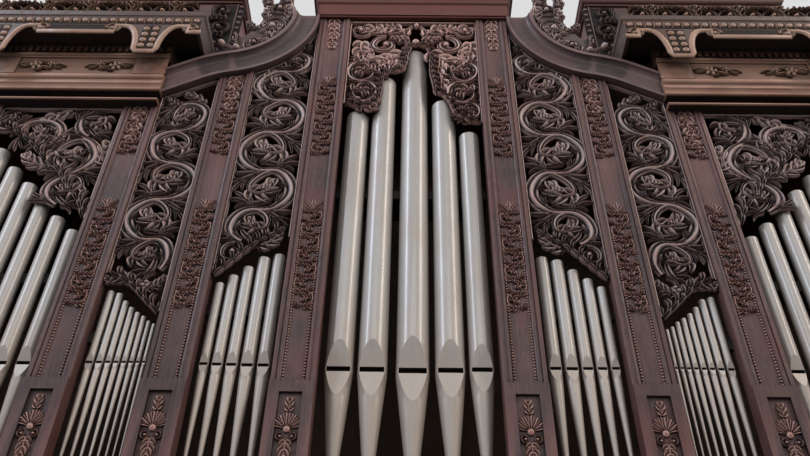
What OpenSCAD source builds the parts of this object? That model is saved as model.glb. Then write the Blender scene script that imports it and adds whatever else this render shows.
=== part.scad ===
// A carved baroque organ case with its display pipes.
// Origin on the floor at the middle of the case, +Z up, the front faces -Y, lengths in mm.

/* [Case] */
// Depth from the front plane of the pilasters to the outer face of the back
case_d = 1300; // [1000:10:1800]
// Thickness of the boards of the sides, the back and the roof
board_t = 25; // [18:1:40]
// Width of the stiles and rails that frame the panels
stile_w = 110; // [80:5:160]
// Depth to which the panels are sunk in their frames
sink = 14; // [8:1:20]
// Thickness of the frame of the lower front
frame_t = 45; // [35:1:70]
// Height of the plinth
plinth_h = 190; // [120:5:280]
// How far the plinth stands out from the lower case
plinth_out = 34; // [20:1:60]
// Height at which the impost moulding starts
impost_z = 2500; // [2300:10:2700]
// Height of the impost moulding, up to the pilasters' feet
impost_h = 200; // [150:5:260]
// How far the impost moulding stands out at its top
impost_out = 78; // [50:1:110]

/* [Pilasters] */
// Width of a pilaster
pil_w = 210; // [180:1:240]
// Thickness of a pilaster
pil_t = 70; // [55:1:90]
// Distance of the inner pilasters from the middle of the case
inner_x = 538; // [500:1:580]
// Distance of the middle pilasters from the middle of the case
mid_x = 1130; // [1090:1:1180]
// Distance of the outer pilasters from the middle of the case
outer_x = 1673; // [1640:1:1720]
// Distance of the far pilasters from the middle of the case
far_x = 2632; // [2580:1:2720]
// Width of the sunk panel of a pilaster
panel_w = 108; // [80:1:130]
// Depth of the sunk panel of a pilaster
panel_sink = 16; // [8:1:24]
// Height of the pedestal block under a pilaster
pedestal_h = 470; // [380:5:560]
// How far the pedestal block stands out from the pilaster
pedestal_out = 14; // [8:1:24]

/* [Pipes] */
// Height of the mouths of all pipes above the floor
mouth_z = 3300; // [3150:10:3500]
// Thickness of the pipe metal
metal_t = 3; // [2:0.5:5]
// Distance of the pipes' fronts behind the pilasters' faces
pipe_set = 45; // [40:1:70]
// Thickness of the toe board
toe_t = 40; // [30:1:60]
// Outer diameter of a pipe foot at its tip, as a share of the pipe's diameter
tip_share = 0.24; // [0.18:0.01:0.32]
// Gap between a pipe and the notch that steadies it
seat = 0.3; // [0.2:0.1:0.6]
// Diameters of the centre pipes, from left to right
centre_d = [140, 145, 165, 148, 121]; // [100:1:200]
// Lengths of the centre pipes above their mouths, from left to right
centre_len = [1814, 2153, 2436, 1927, 1633]; // [1400:1:2600]
// Gaps between the centre pipes
centre_gap = [18, 40, 25, 16]; // [14:1:50]
// Diameters of the inner pipes, from the middle of the case outwards
inner_d = [65, 67, 58, 55, 46]; // [40:1:80]
// Lengths of the inner pipes above their mouths
inner_len = [664, 645, 580, 522, 471]; // [400:1:800]
// Gap between the inner pipes
inner_gap = 12.5; // [8:0.5:15]
// Diameters of the outer pipes, from the middle of the case outwards
outer_d = [18, 20, 24, 26, 28, 30, 36, 39]; // [16:1:45]
// Lengths of the outer pipes above their mouths
outer_len = [211, 228, 257, 280, 309, 348, 396, 411]; // [180:1:500]
// Gap between the outer pipes
outer_gap = 10; // [6:0.5:12]
// Diameters of the tower pipes, from the middle of the case outwards
tower_d = [78, 82, 85, 89, 92, 96]; // [70:1:110]
// Lengths of the tower pipes above their mouths
tower_len = [821, 919, 1043, 1172, 1298, 1453]; // [700:1:1600]
// Gap between the tower pipes
tower_gap = 34; // [26:1:36]

/* [Shades] */
// Thickness of a pierced pipe shade
shade_t = 26; // [18:1:34]
// Distance of the shades behind the pilasters' faces
shade_set = 16; // [8:1:18]
// Width of the rim that holds a shade between its pilasters
rim_w = 14; // [10:1:24]
// Width of the scrolls at their roots
vine_w = 26; // [16:1:34]
// Height of a shade's lower edge above the pipe under it
shade_gap = 52; // [30:1:80]

/* [Cornices] */
// Height of the underside of the entablatures above the mouths
ent_rise = 1795; // [1700:5:1900]
// Height of the entablature up to the crown cornice
ent_h = 545; // [480:5:600]
// How far the lowest moulding of the entablature stands out
ent_out = 70; // [50:1:90]
// How far the crown cornice stands out
crown_out = 220; // [160:5:300]
// Height of the crown cornice
crown_h = 140; // [110:5:180]
// Depth of the valance that hangs from the crown cornice
valance_h = 70; // [50:1:100]
// Length of the tabs of the valance
tab_h = 270; // [200:5:330]
// Width of the tabs of the valance
tab_w = 140; // [110:5:180]
// Width of a dentil
dentil_w = 22; // [14:1:30]
// Height of the underside of the centre cornice above the mouths
centre_rise = 2735; // [2680:5:2800]
// Height of the centre cornice
centre_h = 330; // [260:5:400]
// How far the centre cornice stands out
centre_out = 150; // [110:5:180]
// Radius of the hollow sweep of the curved cornices
sweep_r = 640; // [560:5:700]
// Slope at which the hollow sweep passes into the round one
slope_a = 12; // [8:1:16]
// Radius of the round sweep of the curved cornices
swell_r = 600; // [450:5:700]
// Slope of the straight foot of the curved cornices
slope_b = 31; // [26:1:34]
// Height of the band of the curved cornices
band_h = 175; // [140:5:200]
// How far the curved cornices stand out
band_out = 62; // [45:1:90]
// Thickness of the carved crests
crest_t = 44; // [30:1:60]

/* [Attics] */
// Height of the attics above the crown cornices
attic_h = 760; // [600:10:900]
// Distance of the attics' fronts behind the pilasters' faces
attic_set = 180; // [120:10:240]
// How far the attics' sides stand in from the entablatures' ends
attic_in = 30; // [0:5:60]
// Distance of the attics' inner sides from the middle of the case
wing_x = 1290; // [1250:5:1340]
// Height of the moulding round the top of an attic
cap_h = 70; // [40:5:100]

/* [Hidden] */
$fn = 48;
// Clean-up distance that closes slits and drops slivers in the pierced work
ease = 1;
// Turn left open at the butt joints between the lengths of a curved cornice
seam_a = 0.03;
// Overlap of neighbouring areas along their shared edge
lap = 0.5;
half_w = far_x + pil_w / 2;
front_y = -(case_d - crown_out) / 2;
impost_top = impost_z + impost_h;
toe_z = impost_top;
foot_h = mouth_z - toe_z;
ent_z = mouth_z + ent_rise;
crown_z = ent_z + ent_h;
attic_z = crown_z + crown_h;
centre_z = mouth_z + centre_rise;
inner_lo = inner_x + pil_w / 2;
mid_hi = mid_x - pil_w / 2;
mid_lo = mid_x + pil_w / 2;
outer_hi = outer_x - pil_w / 2;
outer_lo = outer_x + pil_w / 2;
far_hi = far_x - pil_w / 2;
centre_half = inner_x - pil_w / 2;
// Curved cornice: centre and end of the hollow sweep, then of the round one
sweep_x = inner_lo + sweep_r;
sweep_z = centre_z;
join_x = sweep_x - sweep_r * sin(slope_a);
join_z = sweep_z - sweep_r * cos(slope_a);
swell_x = join_x - swell_r * sin(slope_a);
swell_z = join_z - swell_r * cos(slope_a);
foot_x = swell_x + swell_r * sin(slope_b);
foot_z = swell_z + swell_r * cos(slope_b);
end_z = foot_z - (outer_hi - foot_x) * tan(slope_b);
// Height at which the space beside the hollow sweep gets narrower than a shade can be
horn_w = 20;
horn_z = sweep_z - sqrt(sweep_r * sweep_r - (sweep_r - horn_w) * (sweep_r - horn_w));
// Edges of the opening in the impost that the toe board closes
toe_front = 40;
toe_side = 120;
// Height of the rails that steady the pipes
rail_h = 60;
// Half the angle that a mouth takes up round its pipe
lip_a = 58;
// Valance: its thickness, the set-back behind the crown's edge, the height over an arch and the arch's width
valance_t = 22;
valance_y = crown_out - 12;
arch_gap = 10;
arch_w = 165;
// Distance from the middle of a tab to the end of its flank
flank = tab_w / 2 + 0.6 * arch_w;
// Face of the frieze as a share of the entablature's projection
frieze_in = 0.71;
// Crest: radius of the hollow that it fills, and the turns round the sweep's centre where it starts and ends
crest_r = sweep_r - band_h;
crest_lo = -72;
crest_hi = 30;

SIDES = ["left", "right"];

// Points of a quarter ellipse from a to b that leaves a level or upright
function quarter(a, b, level = true, n = 6) = [for (i = [1:n]) let (t = 90 * i / n)
    level ? [a[0] + (b[0] - a[0]) * sin(t), a[1] + (b[1] - a[1]) * (1 - cos(t))]
          : [a[0] + (b[0] - a[0]) * (1 - cos(t)), a[1] + (b[1] - a[1]) * sin(t)]];

// Sum of the first n values of a list
function total(v, n) = n <= 0 ? 0 : v[n - 1] + total(v, n - 1);

// Middle of pipe i in a row that starts at x0
function pipe_x(d, gap, x0, i) = x0 + total(d, i) + total(gap, i) + d[i] / 2;

// A list of n equal gaps
function same(g, n) = [for (i = [1:n]) g];

// Place where a row of pipes starts so that it stands in the middle of its opening
function row_start(d, gap, lo, hi) = (lo + hi - total(d, len(d)) - total(gap, len(gap))) / 2;

// A profile given in shares of its projection and its height
function sized(profile, out, up) = [for (p = profile) [p[0] * out, p[1] * up]];

// A point at radius r and turn a round the middle of the right hollow sweep
function polar(r, a) = [-r * cos(a), r * sin(a)];

// Children drawn in the frame of the front plane
module at_front() translate([0, front_y, 0]) children();

// Children modelled for the right side, on side s
module on(s) mirror([s == "left" ? 1 : 0, 0, 0]) children();

// A drawing of X and Z made solid from depth y0 to y1 behind the front plane
module upright(y0, y1) translate([0, y1, 0]) rotate([90, 0, 0]) linear_extrude(y1 - y0) children();

// A profile of [out, up] points run round the front and the ends of a block; the end at x0 may be flush
module moulded(profile, x0, x1, depth, z, flush = false) {
    k = flush ? 0 : 1;
    top = max([for (p = profile) p[1]]);
    reach = max([for (p = profile) p[0]]);
    intersection() {
        translate([x0 - reach - 1, 0, z]) rotate([90, 0, 90]) linear_extrude(x1 - x0 + 2 * reach + 2)
            polygon(concat([[depth, 0]], [for (p = profile) [-p[0], p[1]]], [[depth, top]]));
        translate([0, depth, z]) rotate([90, 0, 0]) linear_extrude(depth + reach + 1)
            polygon(concat([for (p = profile) [x1 + p[0], p[1]]],
                           [for (i = [len(profile) - 1:-1:0]) if (!flush || i % (len(profile) - 1) == 0)
                               [x0 - k * profile[i][0], profile[i][1]]]));
    }
}

// A fielded panel that fills a frame opening, with its bevels in front
module fielded(x0, x1, z0, z1, y) {
    edge = 42;
    back = frame_t - sink;
    intersection() {
        translate([x0, 0, 0]) rotate([90, 0, 90]) linear_extrude(x1 - x0)
            polygon([[y + back, z0], [y + 12, z0], [y + 4, z0 + edge], [y, z0 + edge + 6],
                     [y, z1 - edge - 6], [y + 4, z1 - edge], [y + 12, z1], [y + back, z1]]);
        translate([0, 0, z0]) linear_extrude(z1 - z0)
            polygon([[x0, y + back], [x0, y + 12], [x0 + edge, y + 4], [x0 + edge + 6, y],
                     [x1 - edge - 6, y], [x1 - edge, y + 4], [x1, y + 12], [x1, y + back]]);
    }
}

// Edges of the bays of the lower front, each as its two sides
function bay(lo, hi, n) = [for (i = [0:n - 1]) let (w = (hi - lo - (n - 1) * stile_w) / n)
    [lo + i * (w + stile_w), lo + i * (w + stile_w) + w]];
BAYS = concat(bay(-centre_half, centre_half, 2), bay(inner_lo, mid_hi, 1), bay(mid_lo, outer_hi, 1),
    bay(outer_lo, far_hi, 2), bay(-mid_hi, -inner_lo, 1), bay(-outer_hi, -mid_lo, 1),
    bay(-far_hi, -outer_lo, 2));
mid_rail_z = plinth_h + (impost_z - plinth_h) * 0.34;
ROWS = [[plinth_h + stile_w, mid_rail_z - stile_w / 2], [mid_rail_z + stile_w / 2, impost_z - stile_w]];

module plinth() color([0.2, 0.13, 0.12]) at_front() difference() {
    moulded([[plinth_out, 0], [plinth_out, plinth_h - 60], [plinth_out - 8, plinth_h - 52],
             each quarter([plinth_out - 8, plinth_h - 46], [4, plinth_h - 12], false),
             [4, plinth_h], [0, plinth_h]], -half_w, half_w, case_d, 0);
    translate([-half_w + board_t, frame_t, -1])
        cube([2 * (half_w - board_t), case_d - frame_t - board_t, plinth_h + 2]);
}

module lower_front_frame() color([0.26, 0.17, 0.15]) at_front() {
    difference() {
        translate([-half_w, 0, plinth_h]) cube([2 * half_w, frame_t, impost_z - plinth_h]);
        for (b = BAYS) for (r = ROWS)
            translate([b[0], -1, r[0]]) cube([b[1] - b[0], frame_t + 2, r[1] - r[0]]);
    }
    for (x = [-far_x, -outer_x, -mid_x, -inner_x, inner_x, mid_x, outer_x, far_x]) {
        translate([x - pil_w / 2, -pedestal_out, plinth_h + 60])
            cube([pil_w, pedestal_out, impost_z - plinth_h - 120]);
    }
}

module lower_front_panels() color([0.3, 0.19, 0.17]) at_front()
    for (b = BAYS) for (r = ROWS) fielded(b[0], b[1], r[0], r[1], sink);

// A framed end wall of the case between two heights, with n panels side by side
module end_wall(z0, z1, y0, n, rows) {
    w = (case_d - board_t - y0 - (n + 1) * stile_w) / n;
    h = (z1 - z0 - (rows + 1) * stile_w) / rows;
    translate([half_w - board_t - sink, y0, z0]) difference() {
        cube([board_t + sink, case_d - board_t - y0, z1 - z0]);
        for (i = [0:n - 1]) for (k = [0:rows - 1])
            translate([board_t, stile_w + i * (w + stile_w), stile_w + k * (h + stile_w)])
                cube([sink + 1, w, h]);
    }
}

module lower_side(s) color([0.26, 0.17, 0.15]) at_front() on(s)
    end_wall(plinth_h, impost_z, frame_t, 2, 2);

module upper_side(s) color([0.26, 0.17, 0.15]) at_front() on(s)
    end_wall(impost_top, ent_z, pil_t, 2, 2);

// The area under the curved cornice on the right side, down to z0 and clear of it by c
module under_swan(z0, c = 0, z1 = sweep_z) {
    difference() {
        translate([inner_lo, z0]) square([join_x - inner_lo, z1 - z0]);
        translate([sweep_x, sweep_z]) circle(sweep_r + c, $fn = 180);
    }
    translate([join_x - lap, z0]) square([foot_x - join_x + lap, swell_z - z0]);
    intersection() {
        translate([join_x - lap, swell_z - 1]) square([foot_x - join_x + lap, 2 * swell_r]);
        translate([swell_x, swell_z]) circle(swell_r - c, $fn = 180);
    }
    drop = c / cos(slope_b);
    polygon([[foot_x - lap, z0], [outer_hi, z0], [outer_hi, end_z - drop], [foot_x, foot_z - drop],
        [foot_x - lap, foot_z - drop]]);
}

// Outline of the back wall above the impost on the right side
module back_half() {
    translate([0, impost_top]) square([inner_lo, centre_z - impost_top]);
    under_swan(impost_top);
    translate([outer_hi, impost_top]) square([half_w - outer_hi, ent_z - impost_top]);
}

// Rows of panels in the back wall above the impost, from height z0 to z1
function back_rows(z0, z1, n) = [for (i = [0:n - 1]) let (h = (z1 - z0 - (n + 1) * stile_w) / n)
    [z0 + stile_w + i * (h + stile_w), z0 + (i + 1) * (h + stile_w)]];

module case_back() color([0.26, 0.17, 0.15]) at_front() difference() {
    union() {
        translate([-half_w, case_d - board_t, plinth_h]) cube([2 * half_w, board_t, impost_top - plinth_h]);
        upright(case_d - board_t, case_d) back_half();
        mirror([1, 0, 0]) upright(case_d - board_t, case_d) back_half();
    }
    for (b = BAYS) {
        top = abs(b[0] + b[1]) < inner_lo ? centre_z : ent_z;
        for (r = concat(ROWS, back_rows(impost_top, top, top == ent_z ? 2 : 3)))
            translate([b[0], case_d - sink, r[0]]) cube([b[1] - b[0], sink + 1, r[1] - r[0]]);
    }
}

impost_profile = sized([[0, 0], [0.13, 0], [0.13, 0.13], each quarter([0.13, 0.17], [0.67, 0.48], false),
    [0.67, 0.54], [0.87, 0.54], [0.87, 0.75], [1, 0.8], [1, 1]], impost_out, impost_h);

module impost() color([0.28, 0.18, 0.16]) at_front() difference() {
    moulded(impost_profile, -half_w, half_w, case_d - board_t, impost_z);
    translate([-half_w + toe_side, toe_front, impost_z - 1])
        cube([2 * (half_w - toe_side), case_d - board_t - toe_side - toe_front, impost_h + 2]);
}

module toe_board() color([0.3, 0.22, 0.18]) at_front()
    translate([-half_w + toe_side, toe_front, toe_z - toe_t])
        cube([2 * (half_w - toe_side), case_d - board_t - toe_side - toe_front, toe_t]);

// Plan of a pilaster's shaft: rounded outer fillets, a step and the sunk panel
module shaft_plan() {
    w = pil_w / 2;
    p = panel_w / 2;
    m = w - p;
    polygon([[-w, pil_t], [-w, 6], each quarter([-w, 6], [-w + 6, 0], false, 4),
        [-w + m * 0.42, 0], [-w + m * 0.46, 5], [-w + m * 0.54, 5],
        each quarter([-w + m * 0.58, 1], [-p, panel_sink], true, 5),
        each quarter([p, panel_sink], [w - m * 0.58, 1], false, 5),
        [w - m * 0.54, 5], [w - m * 0.46, 5], [w - m * 0.42, 0],
        each quarter([w - 6, 0], [w, 6], true, 4), [w, pil_t]]);
}

// A pilaster from the impost up to height z1, on its pedestal block
module pilaster(z1) {
    shaft_z = impost_top + pedestal_h;
    w = pil_w / 2;
    translate([0, 0, shaft_z]) linear_extrude(z1 - shaft_z) shaft_plan();
    difference() {
        translate([-w, -pedestal_out, impost_top])
            cube([pil_w, pil_t + pedestal_out, pedestal_h]);
        translate([-panel_w / 2, -pedestal_out - 1, impost_top + 60])
            cube([panel_w, pedestal_out + 1, pedestal_h - 120]);
    }
}

module far_pilaster(s) color([0.36, 0.23, 0.21]) at_front() on(s)
    translate([far_x, 0, 0]) pilaster(ent_z);

module outer_pilaster(s) color([0.36, 0.23, 0.21]) at_front() on(s)
    translate([outer_x, 0, 0]) pilaster(ent_z);

module mid_pilaster(s) color([0.36, 0.23, 0.21]) at_front() on(s) intersection() {
    translate([mid_x, 0, 0]) pilaster(centre_z);
    upright(-50, pil_t + 50) under_swan(impost_top - 10);
}

module inner_pilaster(s) color([0.36, 0.23, 0.21]) at_front() on(s)
    translate([inner_x, 0, 0]) pilaster(centre_z);

// Height of the slot of a pipe's mouth
function slot(d) = 3 * metal_t + 0.13 * d;

// Solid form of a pipe made smaller by t all round, with its pressed lips
module pipe_form(d, h, t) {
    r = d / 2;
    s = slot(d);
    lip_y = r * cos(lip_a);
    lip_h = 0.95 * d;
    tip_r = d * tip_share / 2;
    foot = foot_h - s;
    foot_y = r - (r - tip_r) * lip_h / foot;
    difference() {
        union() {
            translate([0, 0, -s]) cylinder(r = r - t, h = h + s + (t > 0 ? 1 : 0));
            translate([0, 0, -foot_h - (t > 0 ? 1 : 0)])
                cylinder(r1 = tip_r - t * 0.6, r2 = r - t, h = foot + (t > 0 ? 1 : 0));
        }
        translate([-d, 0, 0]) rotate([90, 0, 90]) linear_extrude(2 * d)
            polygon([[-lip_y + t, -s - 0.01], [-lip_y + t, 0], [-r + t, lip_h], [-2 * r, lip_h],
                     [-2 * r, -s - lip_h], [-foot_y + t, -s - lip_h]]);
    }
}

// An open pipe with its mouth's lip edge at height 0, its axis on the origin
module pipe(d, h) {
    r = d / 2;
    s = slot(d);
    half = r * sin(lip_a) * 0.97;
    difference() {
        pipe_form(d, h, 0);
        pipe_form(d, h, metal_t);
        translate([-half, -d, -s]) cube([2 * half, d, s]);
    }
    intersection() {
        translate([0, 0, -s - 4]) cylinder(r = r - metal_t / 2, h = 4);
        translate([-r, -r * cos(lip_a) + 1.5 * metal_t, -s - 5]) cube([d, d, 6]);
    }
}

// A row of pipes with their fronts in one plane
module pipe_row(d, len_above, gap, lo, hi) {
    x0 = row_start(d, gap, lo, hi);
    for (i = [0:len(d) - 1])
        translate([pipe_x(d, gap, x0, i), pipe_set + d[i] / 2, mouth_z]) pipe(d[i], len_above[i]);
}

module centre_pipes() color([0.66, 0.64, 0.61]) at_front()
    pipe_row(centre_d, centre_len, centre_gap, -centre_half, centre_half);

module inner_pipes(s) color([0.66, 0.64, 0.61]) at_front() on(s)
    pipe_row(inner_d, inner_len, same(inner_gap, 4), inner_lo, mid_hi);

module outer_pipes(s) color([0.66, 0.64, 0.61]) at_front() on(s)
    pipe_row(outer_d, outer_len, same(outer_gap, 7), mid_lo, outer_hi);

module tower_pipes(s) color([0.66, 0.64, 0.61]) at_front() on(s)
    pipe_row(tower_d, tower_len, same(tower_gap, 5), outer_lo, far_hi);

// A rail behind a row of pipes, notched to the back of each pipe
module notched_rail(d, gap, lo, hi, z) {
    x0 = row_start(d, gap, lo, hi);
    deep = pipe_set + max(d);
    difference() {
        translate([lo, pipe_set + min(d) * 0.62, z]) cube([hi - lo, deep - pipe_set + 30, rail_h]);
        for (i = [0:len(d) - 1])
            translate([pipe_x(d, gap, x0, i), pipe_set + d[i] / 2, z - 1])
                cylinder(r = d[i] / 2 + seat, h = rail_h + 2);
    }
}

module pipe_rails() color([0.24, 0.18, 0.15]) at_front() {
    notched_rail(centre_d, centre_gap, -centre_half, centre_half, mouth_z + min(centre_len) * 0.7);
    for (s = SIDES) on(s) {
        notched_rail(inner_d, same(inner_gap, 4), inner_lo, mid_hi, mouth_z + min(inner_len) * 0.6);
        notched_rail(outer_d, same(outer_gap, 7), mid_lo, outer_hi, mouth_z + min(outer_len) * 0.5);
        notched_rail(tower_d, same(tower_gap, 5), outer_lo, far_hi, mouth_z + min(tower_len) * 0.6);
    }
}

// Outline of one scroll: an outer turn of radius r that winds in to its eye
function wind(r, t) = r * (t < 0.3 ? 1 : 1 - 0.8 * (t - 0.3) / 0.7);
module volute(x, z, r, start, hand, turns = 1.6) {
    n = 24;
    translate([x, z]) {
        polygon(concat(
            [for (i = [0:n]) let (t = i / n, a = start + hand * t * 360 * turns)
                (wind(r, t)) * [cos(a), sin(a)]],
            [for (i = [n:-1:0]) let (t = i / n, a = start + hand * t * 360 * turns)
                (wind(r, t) - vine_w * (1 - 0.45 * t)) * [cos(a), sin(a)]]));
        circle(r * 0.17, $fn = 16);
    }
}

// Scrolls in a column between x0 and x1 that climb from z0 to z1, turned left and right in turn
module vine(x0, x1, z0, z1, hand) {
    w = x1 - x0;
    r = w * 0.46;
    off = w / 2 - r;
    step = sqrt(pow(2 * r - vine_w / 2, 2) - pow(2 * off, 2));
    n = max(1, ceil((z1 - z0) / step));
    for (i = [0:n]) let (k = i % 2 == 0 ? hand : -hand)
        volute((x0 + x1) / 2 + k * off, z0 + i * step, r, k > 0 ? -100 : -80, k);
}

// A pierced shade: its rim and the scrolls inside it; the children are the area and the scrolls
module shade() color([0.33, 0.25, 0.22]) upright(shade_set, shade_set + shade_t)
    offset(delta = ease) offset(delta = -3 * ease) offset(delta = 2 * ease) {
        difference() {
            children(0);
            offset(delta = -rim_w) children(0);
        }
        intersection() {
            children(0);
            children(1);
        }
    }

// The area over the pipes of a row, up to height z1
module over_row(d, len_above, gap, lo, hi, z1) {
    x0 = row_start(d, gap, lo, hi);
    n = len(d) - 1;
    for (i = [0:n]) {
        a = i == 0 ? lo : pipe_x(d, gap, x0, i) - d[i] / 2 - gap[i - 1] / 2;
        b = i == n ? hi : pipe_x(d, gap, x0, i) + d[i] / 2 + gap[i] / 2;
        z = mouth_z + len_above[i] + shade_gap;
        translate([a, z]) square([b - a, z1 - z]);
    }
}

// The area over a sloping line between two heights, up to height z1
module over_line(lo, hi, zlo, zhi, z1) polygon([[lo, zlo], [hi, zhi], [hi, z1], [lo, z1]]);

module centre_shade() at_front() shade() {
    over_row(centre_d, centre_len, centre_gap, -centre_half, centre_half, centre_z);
    union() for (s = SIDES) on(s)
        vine(0, centre_half, mouth_z + min(centre_len) + 3 * shade_gap, centre_z, 1);
}

module inner_shade(s) at_front() on(s) shade() {
    intersection() {
        over_line(inner_lo, mid_hi, mouth_z + inner_len[0] + shade_gap,
            mouth_z + inner_len[4] + shade_gap, centre_z);
        under_swan(mouth_z, seat, horn_z);
    }
    vine(inner_lo, mid_hi, mouth_z + inner_len[2] + 3 * shade_gap, centre_z, 1);
}

module outer_shade(s) at_front() on(s) shade() {
    intersection() {
        over_line(mid_lo, outer_hi, mouth_z + outer_len[0] + shade_gap,
            mouth_z + outer_len[7] + shade_gap, centre_z);
        under_swan(mouth_z, seat, horn_z);
    }
    vine(mid_lo, outer_hi, mouth_z + outer_len[4] + 3 * shade_gap, centre_z, -1);
}

module tower_shade(s) at_front() on(s) shade() {
    over_line(outer_lo, far_hi, mouth_z + tower_len[0] + shade_gap,
        mouth_z + tower_len[5] + shade_gap, ent_z);
    union() for (k = [0:2])
        vine(outer_lo + k * (far_hi - outer_lo) / 3, outer_lo + (k + 1) * (far_hi - outer_lo) / 3,
            mouth_z + tower_len[2 * k] + 3 * shade_gap, ent_z, 1 - 2 * (k % 2));
}

ent_profile = sized([[0, 0], [1, 0], [1, 0.07], each quarter([1, 0.07], [0.66, 0.155], true),
    [0.66, 0.213], [0.83, 0.213], [0.83, 0.294], each quarter([0.83, 0.294], [0.94, 0.323], false, 3),
    [0.94, 0.36], [1.03, 0.36], [1.03, 0.433], [frieze_in, 0.44], [frieze_in, 0.738], [0.86, 0.738],
    [1.03, 0.756], [1.03, 0.807], [frieze_in, 0.815], [frieze_in, 1]], ent_out, ent_h);

// Block that stands on the frieze over a pilaster, cut as a low pyramid
module frieze_block(x) translate([x, -frieze_in * ent_out, ent_z + 0.589 * ent_h]) {
    t = 0.14 * ent_out;
    h = 0.28 * ent_h;
    translate([-pil_w / 2, -t, -h / 2]) cube([pil_w, t, h]);
    rotate([90, 0, 0]) translate([0, 0, t]) rotate([0, 0, 45])
        cylinder(r1 = 0.65 * h, r2 = 0, h = 2 * t, $fn = 4);
}

module entablature(s) color([0.34, 0.21, 0.19]) at_front() on(s) {
    w = half_w - outer_hi;
    difference() {
        moulded(ent_profile, outer_hi, half_w, case_d, ent_z, flush = true);
        translate([outer_hi + board_t, pil_t, ent_z - 1])
            cube([w - 2 * board_t, case_d - pil_t - board_t, ent_h - board_t + 1]);
    }
    for (x = [outer_x, far_x]) frieze_block(x);
    n = floor(w / (2 * dentil_w));
    out = (frieze_in + 0.2) * ent_out;
    for (i = [0:n - 1])
        translate([outer_hi + (i + 0.5) * w / n - dentil_w / 2, -out, ent_z + 0.853 * ent_h])
            cube([dentil_w, out, 0.08 * ent_h]);
}

crown_profile = sized([[0.88, 0], [0.945, 0], [0.945, 0.1], each quarter([0.945, 0.1], [0.99, 0.66], false),
    [1, 0.69], [1, 1]], crown_out, crown_h);

// A tab of the valance at u, with the flanks of the arches beside it
module tab(u) {
    low = -tab_h + 0.2 * tab_w;
    edge = concat([[0.4 * tab_w, -tab_h], [tab_w / 2, low]],
        quarter([tab_w / 2, low], [flank, -arch_gap], false), [[flank, lap]]);
    translate([u, 0]) polygon(concat(edge, [for (i = [len(edge) - 1:-1:0]) [-edge[i][0], edge[i][1]]]));
}

// Area of a valance from u0 to u1, with tabs at the given places and an arch on each side of a tab
module valance(u0, u1, tabs) {
    translate([u0, -arch_gap]) square([u1 - u0, arch_gap + 0.1 * crown_h]);
    for (u = tabs) tab(u);
    for (i = [0:len(tabs)]) {
        a = i == 0 ? u0 : tabs[i - 1] + tab_w / 2 + arch_w;
        b = i == len(tabs) ? u1 : tabs[i] - tab_w / 2 - arch_w;
        if (b > a) translate([a, -valance_h]) square([b - a, valance_h]);
    }
}

module crown_cornice(s) color([0.34, 0.23, 0.2]) at_front() on(s) {
    difference() {
        moulded(crown_profile, outer_hi, half_w, case_d, crown_z);
        translate([wing_x - crown_out, attic_set, crown_z - 1])
            cube([outer_hi - wing_x + crown_out, case_d, crown_h + 2]);
    }
    translate([0, 0, crown_z]) upright(-valance_y, -valance_y + valance_t)
        valance(outer_hi - valance_y, half_w + valance_y, [outer_x, far_x]);
    translate([half_w + valance_y - valance_t, 0, crown_z]) rotate([90, 0, 90])
        linear_extrude(valance_t) valance(-valance_y, case_d, [pil_w / 2, case_d / 2, case_d - flank]);
    translate([outer_hi - valance_y, 0, crown_z]) rotate([90, 0, 90])
        linear_extrude(valance_t) valance(-valance_y, attic_set, []);
}

// Section of the curved cornice as [up, out] points, from the back to the front
bead_out = 0.5 * band_out;
face_out = 0.35 * band_out;
swan_section = [[0, -pil_t], [0, bead_out], [0.1 * band_h, bead_out + 4], [0.13 * band_h, face_out],
    [0.63 * band_h, face_out], each quarter([0.63 * band_h, face_out], [0.86 * band_h, band_out], true),
    [band_h, band_out], [band_h, -pil_t]];

// Length by which the straight foot of a curved cornice runs on before it is cut off upright
run_out = 200;

// A section swept along the curved cornice on the right side
module along_swan(section) {
    translate([sweep_x, 0, sweep_z]) rotate([90, 0, 0]) rotate([0, 0, 180])
        rotate_extrude(angle = 90 - slope_a - seam_a, $fn = 180)
            polygon([for (p = section) [sweep_r - p[0], p[1]]]);
    translate([swell_x, 0, swell_z]) rotate([90, 0, 0]) rotate([0, 0, 90 - slope_b + seam_a])
        rotate_extrude(angle = slope_b - slope_a - seam_a, $fn = 180)
            polygon([for (p = section) [swell_r + p[0], p[1]]]);
    intersection() {
        translate([foot_x, 0, foot_z]) rotate([0, slope_b, 0]) rotate([90, 0, 90])
            linear_extrude((outer_hi - foot_x) / cos(slope_b) + run_out)
                polygon([for (p = section) [-p[1], p[0]]]);
        translate([foot_x - run_out, -run_out, mouth_z])
            cube([outer_hi - foot_x + run_out, case_d + 2 * run_out, centre_z - mouth_z]);
    }
}

module swan_cornice(s) color([0.35, 0.27, 0.27]) at_front() on(s) along_swan(swan_section);

centre_profile = sized([[0, 0], [0.47, 0], [0.47, 0.115], each quarter([0.47, 0.115], [0.31, 0.255], true),
    [0.31, 0.545], [0.39, 0.558], each quarter([0.39, 0.558], [0.87, 0.758], true), [1, 0.776], [1, 1]],
    centre_out, centre_h);

// Distance of the centre cornice's back behind the front plane
centre_back = 200;

module centre_cornice() color([0.34, 0.21, 0.19]) at_front()
    moulded(centre_profile, -inner_lo, inner_lo, centre_back, centre_z);

// Radius of the crest's free edge at turn a: highest a little below the level of the sweep's centre
function crest_edge(a) = crest_r * (0.5 + pow((a + 20) / (a > -20 ? 90 : 150), 2));

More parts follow.
